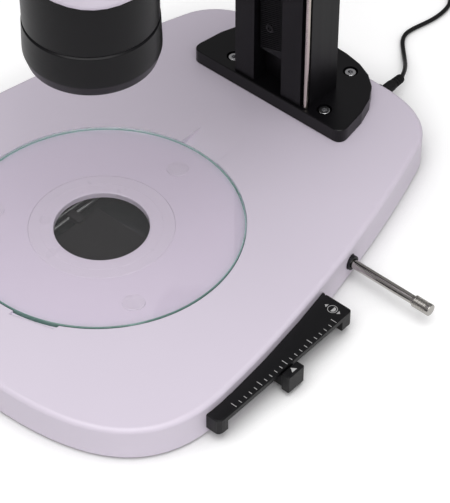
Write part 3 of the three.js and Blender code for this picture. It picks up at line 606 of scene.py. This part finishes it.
def make_plug():
    """The low-voltage plug: a grip with a ribbed, tapering strain relief."""
    profile = [(0, 212), (2.75, 212, 0.3), (2.75, 223.6), (3.5, 223.6, 0.4), (3.8, 225, 0.4),
               (3.8, 233.6, 0.8)]
    for rib in range(4):
        start, radius = 234.6 + 2.2 * rib, 3.45 - 0.07 * rib
        profile += [(radius, start, 0.25), (radius, start + 1.3, 0.25), (2.7, start + 1.35),
                    (2.7, start + 2.1)]
    profile += [(3, 243.4, 0.4), (2.7, 244, 0.5), (0, 244)]
    plug = lathe("dc_plug_grip", profile, rubber, (JACK.x, 0, JACK.z), (0, 1, 0), 48)
    return place(plug, "stand", "rubber", "dc_plug")


def make_adapter():
    """The plug-in adapter: its case, the lead's strain relief and two pins."""
    lo, hi = low("power_adapter"), high("power_adapter")
    body_x, axis_y = (lo.x, lo.x + 51), (lo.y + hi.y) / 2
    body_top, lead_z = TABLE + 29, TABLE + 3 * CORD_RADIUS
    plan = rectangle(body_x, (lo.y, hi.y), 7)
    case = slab("adapter_case", plan, (TABLE, body_top), plastic, (2.2, 3.2))
    seam = slab("seam", inset(plan, -1), (TABLE + 13.6, TABLE + 14.2), plastic)
    core = slab("core", inset(plan, 0.5), (TABLE + 13, TABLE + 15), plastic)
    combine(seam, "DIFFERENCE", core)
    combine(case, "DIFFERENCE", seam)
    place(case, "stand", "black_plastic", "power_adapter")
    relief = [(0, 0), (4.2, 0), (4, 2, 0.5), (3.4, 10), (2.5, 14.6, 0.4), (0, 14.8)]
    boot = lathe("adapter_strain_relief", relief, rubber, (body_x[1] + 0.1, axis_y, lead_z), (1, 0, 0), 40)
    place(boot, "stand", "rubber")
    pins = []
    for side, sign in SIDES:
        profile = [(0, body_top - 1), (3.2, body_top - 1), (3.2, body_top + 0.8, 0.3), (2.2, body_top + 1),
                   (2.2, hi.z, 1.6), (0, hi.z)]
        pin = lathe(f"adapter_pin_{side}", profile, steel, (body_x[0] + 28, axis_y + sign * 9.5, 0),
                    sides=32)
        pins.append(place(pin, "stand", "bright_steel"))
    return [case, boot, *pins]


def make_ties():
    """Two soft ties hold the coil together."""
    ties = []
    reach = COIL_SPREAD + CORD_RADIUS
    for number, degrees in enumerate((200, 330)):
        angle = math.radians(degrees)
        away = Vector((math.cos(angle), math.sin(angle), 0))
        along = Vector((-math.sin(angle), math.cos(angle), 0))
        middle_spot = Vector((*(COIL_MIDDLE + COIL_RADIUS * away.xy), TABLE + 2 * CORD_RADIUS))
        outer = rectangle((-reach - 0.6, reach + 0.6), (-2 * CORD_RADIUS, 2 * CORD_RADIUS + 0.6), 1.8)
        inner = rectangle((-reach + 0.4, reach - 0.4), (-2 * CORD_RADIUS + 0.5, 2 * CORD_RADIUS - 0.2), 1.6)
        rows = [(inner, -3), (outer, -3), (outer, 3), (inner, 3)]
        vertices = [middle_spot + away * p.x + UP * p.y + along * w for ring, w in rows for p in ring]
        count = len(outer)
        faces = [[r * count + k, r * count + (k + 1) % count, (r + 1) % 4 * count + (k + 1) % count,
                  (r + 1) % 4 * count + k] for r in range(4) for k in range(count)]
        tie = smooth(new_object(f"lead_tie_{number + 1}", vertices, faces, rubber))
        ties.append(place(tie, "stand", "rubber"))
    return ties


# ----------------------------------------------------------- the base


def bezier(a, b, c, d, count):
    """Points along a cubic curve, without its first one."""
    a, b, c, d = (Vector(p) for p in (a, b, c, d))
    return [a * (1 - t) ** 3 + b * 3 * t * (1 - t) ** 2 + c * 3 * t * t * (1 - t) + d * t ** 3
            for t in (k / count for k in range(1, count + 1))]


def mirrored(half):
    """A full outline from its right half, whose first and last points are on the middle line."""
    return half + [Vector((-p.x, p.y)) for p in half[-2:0:-1]]


def base_plan(fine=18):
    """The base in plan: broad and round at the front, tapering to the column."""
    half = [Vector((0, -138.2))]
    half += bezier((0, -138.2), (18, -138.2), (35.3, -138), (52, -137.5), fine // 2)
    half += bezier((52, -137.5), (124.3, -134), (156.5, -105), (149.6, -46.5), fine)
    half += bezier((149.6, -46.5), (146.2, 14), (127, 115), (103, 186), fine)
    half += bezier((103, 186), (97.5, 206), (80, 219), (50, 220), fine)
    half += [Vector((0, 221.5))]
    return mirrored(half)


def ramp(width, reach, floor, material):
    """A finger notch at the edge of the glass: a floor that ramps up to the top of the base."""
    profile = [(-4, floor), (1, floor), (reach, BASE_TOP), (reach + 1, BASE_TOP + 3), (-4, BASE_TOP + 3)]
    return slab("ramp", [Vector(p) for p in profile], (-width / 2, width / 2), material, basis=SIDE)


def moved(obj, shift, degrees=0.0):
    """Shifts a piece by some millimetres, then turns it about the optical axis."""
    turn = Matrix.Rotation(math.radians(degrees), 4, "Z")
    obj.data.transform(turn @ Matrix.Translation(Vector(shift) * MM))
    return obj


def make_base():
    plan = base_plan()
    casting = slab("base_casting", plan, (BASE_BOTTOM, BASE_TOP), paint, (0.6, 3.2), steps=8)
    hollow = slab("hollow", inset(plan, 5), (BASE_BOTTOM - 5, BASE_TOP - 5), chamber)
    bosses = [disc(s, (-16, 0), 7) for s in SCREWS]
    rail_bosses = [brick((-36, -23.5), (y - 4, y + 4), (-16.5, 0)) for y in (-116, 78)]
    rear_floor = moved(ramp(30, 18.5, RECESS_FLOOR, chamber), (0.5, GLASS_RADIUS + 1, -3))
    stage_floor = disc((0, 0), (FLOOR_UNDERSIDE, 0), RECESS_RADIUS + 8, sides=128)
    combine(hollow, "DIFFERENCE", stage_floor, rear_floor, *bosses, *rail_bosses)
    front = combine(moved(ramp(60, 3, -2.6, paint), (0, GLASS_RADIUS, 0), 197.4), "INTERSECT",
                    brick((12.8, 42.2), (-110, -60), (-12, 4), paint))
    tools = [
        hollow,
        disc((0, 0), (RECESS_FLOOR, 5), RECESS_RADIUS, paint, 180),
        disc((0, 0), (-7.8, 0), RING_RADIUS, paint, 96),
        disc((0, 0), (-20, 0), RING_RADIUS - 7, chamber, 96),
        moved(ramp(30, 18.5, RECESS_FLOOR, paint), (0.5, GLASS_RADIUS, 0)),
        front,
        brick((120, 170), (SLIDER.y - 52, SLIDER.y + 52), (-17.4, -13)),
        stick((110, ROD.y, ROD.z), (170, ROD.y, ROD.z), 5.2),
        stick((JACK.x, 205, JACK.z), (JACK.x, 240, JACK.z), 5.8),
        brick((SWITCH.x - 11, SWITCH.x + 11), (205, 240), (-19.5, -4.5)),
        stick((-170, BRIGHT.y, BRIGHT.z), (-110, BRIGHT.y, BRIGHT.z), 3.4),
    ]
    tools += [disc(s, (-7.5, 0), 7.05, paint) for s in PADS]
    tools += [disc(s, (-13, 5), 2.8, chamber, 24) for s in SCREWS]
    tools += [stick((r.x, -119, r.z), (r.x, 81, r.z), 1.4, chamber, 24) for r in RAILS]
    combine(casting, "DIFFERENCE", *tools)
    soft = casting.modifiers.new("soft edges", "BEVEL")
    soft.width, soft.segments, soft.limit_method = 0.35 * MM, 2, "ANGLE"
    soft.angle_limit = math.radians(50)
    casting.modifiers.move(1, 0)
    place(casting, "stand", "base_paint", "base_shell")

    outer = RING_RADIUS - 0.08
    profile = [(WINDOW_RADIUS, -9.2), (38.6, -9.2), (38.6, -7.5), (outer, -7.5),
               (outer, RECESS_FLOOR, 0.35), (38.4, RECESS_FLOOR), (38.3, RECESS_FLOOR - 0.12),
               (38.2, RECESS_FLOOR), (WINDOW_RADIUS, RECESS_FLOOR, 0.8)]
    ring = lathe("stage_insert", profile, stage_white, sides=160, ring=True)
    place(ring, "stand", "stage_white", "stage_ring")
    for i, spot in enumerate(PADS):
        profile = [(0, -7.5), (6.98, -7.5), (6.98, GLASS_BOTTOM, 0.3), (0, GLASS_BOTTOM)]
        pad = lathe(f"glass_pad_{i + 1}", profile, stage_white, (spot.x, spot.y, 0), sides=48)
        place(pad, "stand", "stage_white", f"stage_pad_{i + 1}")
    for i in range(1, 5):
        spot = middle(f"foot_{i}")
        profile = [(0, TABLE + 0.8), (5, TABLE + 0.8), (6, TABLE, 0.5), (10.2, TABLE, 0.9),
                   (11, TABLE + 1.2, 0.5), (11, TABLE + 2.2), (0, TABLE + 2.2)]
        foot = lathe(f"rubber_foot_{i}", profile, rubber, (spot.x, spot.y, 0), sides=48)
        place(foot, "stand", "rubber", f"foot_{i}")
    keep("bottom_cover", black_paint, 0.3)
    keep("light_panel", smoked, 0.4)


def make_glass():
    bevel = 0.55
    profile = [(0, GLASS_BOTTOM), (GLASS_RADIUS - bevel, GLASS_BOTTOM),
               (GLASS_RADIUS, GLASS_BOTTOM + bevel), (GLASS_RADIUS, -bevel),
               (GLASS_RADIUS - bevel, 0), (0, 0)]
    plate = lathe("stage_plate", profile, pane, sides=240)
    plate.data.materials.append(rim)
    for face in plate.data.polygons:
        face.material_index = 1 if face.center.xy.length > (GLASS_RADIUS - bevel) * MM else 0
    place(plate, "stage_glass", "stage_glass", "glass_plate")


# --------------------------------------- contrast slider and diffuser


def make_marks():
    """The slider's scale, with every fifth line long, and a plain half-filled disc in place of letters."""
    top, outer = high("oic_scale_bar").z, 159.4
    vertices, faces = [], []

    def mark(corners):
        start = len(vertices)
        vertices.extend((*p, z) for z in (top - 0.1, top + 0.06) for p in corners)
        count = len(corners)
        faces.append([start + k for k in range(count)][::-1])
        faces.append([start + count + k for k in range(count)])
        for k in range(count):
            n = (k + 1) % count
            faces.append([start + k, start + n, start + count + n, start + count + k])

    for number in range(21):
        y = SLIDER.y + 0.3 + (number - 10) * 4.515
        length = 4.2 if number % 5 == 0 else 2.4
        mark([(outer - length, y - 0.2), (outer, y - 0.2), (outer, y + 0.2), (outer - length, y + 0.2)])
    middle_x, middle_y, radius = 150.4, 44.3, 3.2
    arcs = [math.radians(a) for a in range(0, 361, 15)]
    for a, b in zip(arcs, arcs[1:]):
        mark([(middle_x + r * math.cos(t), middle_y + r * math.sin(t))
              for r, t in ((radius - 0.35, a), (radius, a), (radius, b), (radius - 0.35, b))])
    half = [math.radians(a) for a in range(-90, 91, 15)]
    mark([(middle_x + 2.1 * math.cos(t), middle_y + 2.1 * math.sin(t)) for t in half])
    for way in (-1, 1):
        tip, root = middle_x + way * 6.0, middle_x + way * 4.2
        mark([(tip, middle_y), (root, middle_y + way * 1.5), (root, middle_y - way * 1.5)])
    marks = smooth(new_object("slider_scale_marks", vertices, faces, ink))
    place(marks, "stand", "black_plastic")


def make_slider():
    keep("oic_mask", mask_black, 0.3)
    keep("oic_knob", plastic, 0.5)
    keep("oic_scale_bar", plastic, 0.35)
    make_marks()
    top = high("oic_knob").z
    arrow = [Vector(p) for p in ((162.2, SLIDER.y), (165.4, SLIDER.y - 2.2), (165.4, SLIDER.y + 2.2))]
    pointer = slab("slider_pointer", arrow, (top - 0.1, top + 0.06), ink)
    place(pointer, "oic_slider", "black_plastic")
    for i, rail in enumerate(RAILS):
        profile = [(0, -118), (1.1, -118, 0.3), (1.1, 80, 0.3), (0, 80)]
        made = lathe(f"slider_rail_{i + 1}", profile, rail_steel, (rail.x, 0, rail.z), (0, 1, 0), 24)
        place(made, "stand", "bright_steel", f"oic_rail_{i + 1}")


def make_selector():
    radius, tip, end = 2.9, high("selector_rod").x - 12.5, high("selector_rod").x
    profile = [(0, 70), (radius, 70, 0.4), (radius, tip - 1.2), (radius - 0.35, tip - 0.9),
               (radius - 0.35, tip), (3.9, tip, 0.3)]
    for groove in range(5):
        start = tip + 1.4 + groove * 1.75
        profile += [(3.9, start, 0.15), (3.3, start + 0.35, 0.1), (3.3, start + 0.8, 0.1),
                    (3.9, start + 1.1, 0.15)]
    profile += [(3.9, end, 0.5), (0, end)]
    rod = lathe("selector_pull_rod", profile, chrome, (0, ROD.y, ROD.z), (1, 0, 0), 64)
    place(rod, "selector", "chrome", "selector_rod")
    lo, hi = low("rod_bush").x, high("rod_bush").x
    bush = [(radius + 0.3, lo), (4.9, lo), (4.9, hi, 0.4), (radius + 0.3, hi, 0.3)]
    made = lathe("rod_guide_bush", bush, dark_steel, (0, ROD.y, ROD.z), (1, 0, 0), 48, ring=True)
    place(made, "stand", "dark_steel", "rod_bush")
    keep("diffuser_frame", black_paint, 0.25)
    keep("diffuser_glass", opal, 0.2)


# ------------------------------------------------- controls and inlet


def make_controls():
    wall = -149
    profile = [(0, -12), (2.9, -12), (2.9, 0.6), (8.4, 0.6, 0.4), (9, 1.4, 0.3), (8.4, 11, 0.6),
               (7.2, 12, 0.5), (3, 11.6, 0.5), (0, 11.6)]
    knob = lathe("dimmer_knob", profile, plastic, (wall, BRIGHT.y, BRIGHT.z), (-1, 0, 0), 144,
                 flutes(24, 0.45, 1.5, 11, 8))
    place(knob, "brightness", "black_plastic", "brightness_knob")
    line = [Vector(p) for p in ((BRIGHT.y - 0.4, BRIGHT.z + 2.5), (BRIGHT.y + 0.4, BRIGHT.z + 2.5),
                                (BRIGHT.y + 0.4, BRIGHT.z + 6.8), (BRIGHT.y - 0.4, BRIGHT.z + 6.8))]
    index = slab("dimmer_index_line", line, (wall - 12.05, wall - 11.4), ink, basis=SIDE)
    place(index, "brightness", "black_plastic")
    keep("power_switch", plastic, 0.5)
    profile = [(3.1, 207), (5.4, 207), (5.4, 221.7), (7, 221.7), (7, 223.2, 0.5), (3.1, 223.2, 0.4)]
    jack = lathe("dc_socket", profile, plastic, (JACK.x, 0, JACK.z), (0, 1, 0), 48, ring=True)
    place(jack, "stand", "black_plastic", "dc_jack")


# --------------------------------------------------------- the column


def make_screw(name, spot, bottom, top, radius, material, body, slot, *nodes):
    """A socket-head cap screw: a knurled head with a hexagonal socket."""
    profile = [(0, bottom), (2.5, bottom), (2.5, top - 5), (radius, top - 5, 0.3), (radius, top, 0.5),
               (0, top)]
    screw = lathe(name, profile, material, (spot[0], spot[1], 0), sides=96,
                  ripple=flutes(32, 0.12, top - 4.6, top - 0.6, radius - 0.6))
    hexagon = [Vector((2 * math.cos(a), 2 * math.sin(a))) + Vector(spot[:2])
               for a in (math.radians(60 * k + 12) for k in range(6))]
    combine(screw, "DIFFERENCE", slab("socket", hexagon, (top - 2.8, top + 2), steel))
    place(screw, body, slot, *nodes)


def make_rack():
    """A fine slanting-tooth rack with its fixing screws."""
    lo, hi = low("focus_rack"), high("focus_rack")
    pitch, depth, columns = 1.5708, 0.75, 9
    front = lo.y + 0.25
    rows = [(lo.z, 0.0)]
    for tooth in range(int((hi.z - lo.z) / pitch)):
        z = lo.z + tooth * pitch
        rows += [(z + 0.12 * pitch, 1.0), (z + 0.38 * pitch, 0.0), (z + 0.62 * pitch, 0.0),
                 (z + 0.88 * pitch, 1.0)]
    rows.append((hi.z, 0.0))
    vertices = []
    for z, dip in rows:
        for column in range(columns):
            x = lo.x + (hi.x - lo.x) * column / (columns - 1)
            slant = 0.28 * (x - lo.x) if lo.z < z < hi.z else 0
            vertices.append((x, front + depth * dip, min(z + slant, hi.z)))
    across = len(vertices)
    faces = [[r * columns + k, r * columns + k + 1, (r + 1) * columns + k + 1, (r + 1) * columns + k]
             for r in range(len(rows) - 1) for k in range(columns - 1)]
    vertices += [(lo.x, hi.y, lo.z), (hi.x, hi.y, lo.z), (hi.x, hi.y, hi.z), (lo.x, hi.y, hi.z)]
    last = (len(rows) - 1) * columns
    faces += [
        [across, across + 1, across + 2, across + 3],
        [across, *range(columns), across + 1],
        [across + 3, *range(last, last + columns), across + 2],
        [across, across + 3, *range(last, -1, -columns)],
        [across + 1, *range(columns - 1, last + columns, columns), across + 2],
    ]
    rack = new_object("fine_rack", vertices, faces, dark_steel)
    rack.data.set_sharp_from_angle(angle=math.radians(20))
    place(rack, "stand", "dark_steel", "focus_rack")
    for number in range(5):
        z = lo.z + 20 + number * 62
        head = [(0, 0), (3.2, 0), (3.2, 1.2, 0.3), (1.7, 1.2), (1.7, 0.2), (0, 0.2)]
        screw = lathe(f"rack_screw_{number + 1}", head, black_paint, (-1.2, front + 0.9, z), (0, -1, 0), 40)
        place(screw, "stand", "dark_steel")


def make_column():
    keep("column_foot", black_paint, 0.8)
    keep("column", black_body, 0.35)
    for i, spot in enumerate(SCREWS):
        make_screw(f"cap_screw_{i + 1}", spot, -12, high(f"foot_screw_{i + 1}").z, 3.75, steel, "stand",
                   "bright_steel", f"foot_screw_{i + 1}")
    for side, _ in SIDES:
        node = f"guide_rod_{side}"
        spot, top, bottom = middle(node), high(node).z, low(node).z
        profile = [(0, bottom), (1.5, bottom, 0.4), (1.5, top, 0.4), (0, top)]
        made = lathe(f"guide_{side}", profile, rod_steel, (spot.x, spot.y, 0), sides=32)
        place(made, "stand", "bright_steel", node)
    make_rack()


# ------------------------------------------------------- the carriage


def make_focus():
    keep("focus_housing", black_body, 1.2)
    keep("focus_pinion", steel, 0.2)
    for side, sign in SIDES:
        way = (sign, 0, 0)
        start = (0, PINION.y, PINION.z)
        coarse = [(3.3, 50.5), (14, 50.5, 0.5), (15, 51.5, 0.5), (15, 54.5, 0.6), (25, 55.5, 0.8),
                  (26, 57, 0.6), (26, 72.2, 0.8), (24.4, 74, 1.0), (19.5, 74, 0.3), (19.3, 73.2),
                  (3.3, 73.2), (3.3, 64.4), (5.3, 64.4)]
        made = lathe(f"coarse_focus_{side}", coarse, grip, start, way, 360, flutes(60, 0.5, 57.2, 71.8, 24),
                     ring=True)
        place(made, "coarse_drive", "black_anodised", f"coarse_knob_{side}")
        fine = [(0, 0.5), (3, 0.5), (3, 74.4), (17, 74.4, 0.4), (18, 75.4, 0.4), (18, 87.2, 0.6),
                (16.6, 88.9, 0.8), (12, 89.2, 0.3), (11.6, 88.7), (0, 88.7)]
        made = lathe(f"fine_focus_{side}", fine, plastic, start, way, 240, flutes(40, 0.35, 75.6, 87, 17))
        place(made, "fine_drive", "black_anodised", f"fine_knob_{side}")


def make_objective():
    z, r = low("objective_ring").z, 40.8
    seam = high("objective_ring").z
    profile = [(35.2, z + 1, 0.3), (36, z, 0.3), (r - 2.3, z, 0.5), (r, z + 7.2, 0.8), (r, z + 12, 1.5),
               (40.3, seam - 1.2, 0.3), (39.2, seam - 0.3), (39.2, seam), (35.2, seam)]
    ring = lathe("objective_lower_ring", profile, black_barrel, sides=192, ring=True)
    place(ring, "carriage", "black_anodised", "objective_ring")
    z, top = low("objective_barrel").z, high("objective_barrel").z
    profile = [(30, z), (34.9, z), (34.9, seam + 0.3), (39.2, seam + 0.3), (39.9, seam + 0.8, 0.2),
               (39.9, 204, 1.5), (37, 211, 1.5), (37, 213.8), (29.7, 213.8), (29.7, top), (27, top),
               (27, 165), (30, 162)]
    barrel = lathe("objective_main_barrel", profile, black_barrel, sides=192, ring=True)
    place(barrel, "carriage", "black_anodised", "objective_barrel")
    profile = [(0, 145)] + [(34.8 * math.sin(a), 145 + 5.5 * (1 - math.cos(a)) ** 1.2)
                            for a in (math.radians(8 * k) for k in range(1, 11))]
    profile += [(34.8, 151), (34.8, 157.6), (0, 157.6)]
    front_lens = lathe("objective_front_lens", profile, lens, sides=128)
    place(front_lens, "carriage", "lens_glass", "objective_lens")
    for number in range(3):
        angle = math.radians(-31 + 120 * number)
        away = Vector((math.cos(angle), math.sin(angle), 0))
        hole = [(0, -0.6), (1.3, -0.6), (1.3, 0.12, 0.1), (0.9, 0.12), (0.8, -0.3), (0, -0.3)]
        screw = lathe(f"ring_grub_screw_{number + 1}", hole, dark_steel, away * 40.4 + UP * 154.5, away, 32)
        place(screw, "carriage", "dark_steel")


def make_zoom_body():
    x, y, z = high("zoom_body").x, (low("zoom_body").y, high("zoom_body").y), (low("zoom_body").z, 326)
    top = high("zoom_body").z
    plan = rectangle((-x, x), y, 42)
    body = slab("zoom_casting", plan, z, paint, (6, 7), steps=8)
    profile = [(0, z[1] - 2), (46.5, z[1] - 2, 1), (44, z[1] + 2.4, 1.5), (44, top, 0.8), (0, top)]
    neck = lathe("neck", profile, paint, sides=128)
    combine(body, "UNION", neck)
    inside = slab("inside", rectangle((5 - x, x - 5), (y[0] + 5, y[1] - 5), 36), (z[0] + 6, z[1] - 5),
                  chamber)
    combine(body, "DIFFERENCE", inside, disc((0, 0), (z[0] - 5, z[0] + 10), 30, chamber, 96),
            disc((0, 0), (z[1] - 10, z[1] + 3), 33, chamber, 96),
            disc((0, 0), (z[1] + 2, top + 5), 38.3, chamber, 96),
            stick((-70, ZOOM_AXIS.y, ZOOM_AXIS.z), (70, ZOOM_AXIS.y, ZOOM_AXIS.z), 4.3, chamber),
            stick((30, 0, CLAMP_Z), (60, 0, CLAMP_Z), 2.3, chamber, 24))
    place(body, "carriage", "base_paint", "zoom_body")
    keep("zoom_carriage", dark_steel, 0.3)
    for side, sign in SIDES:
        start = (0, ZOOM_AXIS.y, ZOOM_AXIS.z)
        profile = [(0, 0.5), (4, 0.5), (4, 56.4), (12, 56.4, 0.4), (13, 57.4, 0.5), (19, 60.4, 0.8),
                   (20, 62, 0.5), (20, 73, 0.6), (18.4, 74.9, 0.8), (13, 74.9, 0.3), (12.6, 74.4),
                   (0, 74.4)]
        made = lathe(f"zoom_dial_{side}", profile, grip, start, (sign, 0, 0), 288,
                     flutes(48, 0.45, 62.4, 72.6, 19))
        place(made, "zoom_drive", "black_plastic", f"zoom_knob_{side}")
        dial = [(13.6, 56.05), (21.5, 56.05), (21.5, 56.3, 0.1), (13.6, 56.3, 0.1)]
        plate = lathe(f"zoom_dial_plate_{side}", dial, black_paint, start, (sign, 0, 0), 96, ring=True)
        place(plate, "carriage", "black_plastic")


def text_mesh(name, words, size, material):
    """Generic numerals as a thin mesh, standing on the plan with their middle at the origin."""
    data = bpy.data.curves.new(name, "FONT")
    data.body, data.size = words, size * MM
    data.extrude = 0.05 * MM
    data.align_x, data.align_y = "CENTER", "CENTER"
    maker = bpy.data.objects.new(name, data)
    scene.collection.objects.link(maker)
    mesh = bpy.data.meshes.new_from_object(maker.evaluated_get(bpy.context.evaluated_depsgraph_get()))
    bpy.data.objects.remove(maker)
    mesh.materials.clear()
    mesh.materials.append(material)
    obj = bpy.data.objects.new(name, mesh)
    scene.collection.objects.link(obj)
    return obj


def make_zoom_numbers():
    """Numbers round each zoom dial, 1 at the low end of the range."""
    for side, sign in SIDES:
        for number in range(1, 6):
            angle = math.radians(90 - sign * 67.5 * (number - 3))
            figure = text_mesh(f"zoom_number_{number}_{side}", str(number), 5, ink)
            spot = Vector((sign * 56.05, ZOOM_AXIS.y + 25 * math.cos(angle),
                           ZOOM_AXIS.z + 25 * math.sin(angle)))
            upright = Matrix(((0, 0, sign), (sign, 0, 0), (0, 1, 0))).to_4x4()
            figure.data.transform(Matrix.Translation(spot * MM) @ upright)
            place(figure, "carriage", "black_plastic")


# ----------------------------------------------------------- the head


def on_face(x, w, s):
    """A point s along the eyepiece tubes, at x, and w up the sloping face."""
    return Vector((x, 0, 0)) + FACE + RISE * w + OUT * s


def make_head():
    """The trinocular head: two swinging tubes with eyepieces, the camera tube and its controls."""
    keep("head_housing", paint, 2.0)
    for side, sign in SIDES:
        drum_x, tube_x = sign * DRUM_X, sign * TUBE_X
        drum_end, tube_end = on_face(drum_x, 0, 0), on_face(tube_x, TUBE_W, 0)
        drum = lathe(f"prism_drum_{side}", [(0, 0.3), (21, 0.3, 0.6), (21, 26, 2), (0, 26)], black_body,
                     drum_end, OUT, 96)
        tube = lathe("tube", [(0, 4), (16.5, 4), (16.5, 56, 0.6), (0, 56)], black_body, tube_end, OUT, 96)
        combine(drum, "UNION", tube)
        combine(drum, "DIFFERENCE", stick(on_face(drum_x, 0, -5), on_face(drum_x, 0, 20), 11),
                stick(on_face(tube_x, TUBE_W, 10), on_face(tube_x, TUBE_W, 60), 13.2))
        place(drum, f"tube_{side}", "black_anodised", f"prism_housing_{side}")
        profile = [(0, 40), (12.8, 40), (12.8, 56.3), (15.2, 56.3, 0.3), (15.2, 73, 0.3), (16.8, 73.6, 0.5),
                   (17, 80, 0.4), (15.6, 80.6), (15.6, 86.5), (0, 86)]
        made = lathe(f"eyepiece_barrel_{side}", profile, black_barrel, tube_end, OUT, 96)
        place(made, f"tube_{side}", "black_anodised", f"eyepiece_{side}")
        cup = [(15.65, 80.8), (17.3, 80.8, 0.4), (17.4, 84, 0.4), (16.9, 84.8, 0.3), (17.6, 85.8, 0.4),
               (17.9, 89, 0.4), (18.6, 94.2, 0.6), (18.1, 95, 0.4), (16.6, 94.4, 0.5), (15.65, 89, 0.5)]
        place(lathe(f"eyecup_{side}", cup, rubber, tube_end, OUT, 96, ring=True), f"tube_{side}", "rubber")
        eye = [(0, 86.3), (11.5, 86.3), (11.5, 86.9), (8, 88), (4, 88.6), (0, 88.8)]
        place(lathe(f"eye_lens_{side}", eye, lens, tube_end, OUT, 64), f"tube_{side}", "lens_glass")
        knurl = [(15.5, 58), (18.4, 58, 0.3), (19, 58.8, 0.3), (19, 69.2, 0.3), (18.4, 70, 0.3), (15.5, 70)]
        made = lathe(f"diopter_grip_{side}", knurl, grip, tube_end, OUT, 288,
                     flutes(72, 0.3, 58.9, 69.1, 18.5), ring=True)
        place(made, f"diopter_{side}", "rubber", f"diopter_ring_{side}")
    top = high("phototube").z
    profile = [(13, 392.2), (24, 392.2, 0.5), (24, 397, 0.8), (20.5, 398, 0.8), (20.5, 414, 0.3),
               (20.1, 414.4), (20.1, 415.6), (20.5, 416, 0.3), (20.5, top - 1, 0.6), (19.5, top, 0.4),
               (13, top, 0.5)]
    tube = lathe("camera_tube", profile, black_barrel, (0, middle("phototube").y, 0), sides=128, ring=True)
    place(tube, "head", "black_anodised", "phototube")
    y, z = middle("path_selector_rod").y, middle("path_selector_rod").z
    profile = [(0, 41), (2.5, 41), (2.5, 51.5), (4.6, 51.5, 0.3), (5, 52.5, 0.3), (5, 60, 0.4),
               (4, 61, 0.4), (0, 61)]
    pull = lathe("light_path_pull", profile, chrome, (0, y, z), (1, 0, 0), 96,
                 flutes(24, 0.2, 52.6, 59.6, 4.5))
    place(pull, "path_selector", "bright_steel", "path_selector_rod")
    profile = [(0, 38.6), (2, 38.6), (2, 44.6), (5.5, 44.6, 0.3), (6, 45.4, 0.3), (6, 55, 0.4),
               (5.2, 56, 0.4), (0, 56)]
    clamp = lathe("head_clamp_screw", profile, plastic, (0, 0, CLAMP_Z), (1, 0, 0), 144,
                  flutes(24, 0.35, 45.6, 54.8, 5.4))
    place(clamp, "head_lock", "bright_steel", "head_lock_screw")


# --------------------------------------------------------- the studio


def make_studio():
    """A white sweep with a painted contact shadow, under a soft overhead lamp, in a room that is brighter
    above.
    """
    floor = new_object("studio_floor", [(-9000, -9000, TABLE), (9000, -9000, TABLE), (9000, 9000, TABLE),
                                        (-9000, 9000, TABLE)], [[0, 1, 2, 3]], lit_floor())
    world = bpy.data.worlds.new("studio")
    scene.world = world
    world.use_nodes = True
    nodes, links = world.node_tree.nodes, world.node_tree.links
    background = nodes["Background"]
    background.inputs["Color"].default_value = (1.0, 0.985, 1.0, 1)
    direction = nodes.new("ShaderNodeTexCoord")
    split = nodes.new("ShaderNodeSeparateXYZ")
    rise = nodes.new("ShaderNodeMapRange")
    rise.interpolation_type = "SMOOTHSTEP"
    rise.inputs["From Min"].default_value = 0.05
    rise.inputs["From Max"].default_value = 0.75
    rise.inputs["To Min"].default_value = 0.12
    rise.inputs["To Max"].default_value = 0.36
    links.new(direction.outputs["Generated"], split.inputs["Vector"])
    links.new(split.outputs["Z"], rise.inputs["Value"])
    links.new(rise.outputs["Result"], background.inputs["Strength"])

    def softbox(name, spot, size, power, target=(0, 0, 0)):
        data = bpy.data.lights.new(name, "AREA")
        data.shape, data.size, data.size_y, data.energy = "RECTANGLE", size[0], size[1], power
        lamp = bpy.data.objects.new(name, data)
        scene.collection.objects.link(lamp)
        aim(lamp, Vector(spot), Vector(target))

    softbox("overhead", (0.45, -0.6, 1.9), (2.2, 2.2), 42)
    softbox("right_side", (2.0, 0.0, 0.8), (1.2, 1.4), 4)


# ----------------------------------------------------------- assembly

scene.view_settings.view_transform = "Standard"
make_camera()
lead = make_lead()
plug = make_plug()
make_adapter() + make_ties()
make_base()
make_glass()
make_slider()
make_selector()
make_controls()
make_column()
make_focus()
make_objective()
make_zoom_body()
make_zoom_numbers()
make_head()
make_studio()
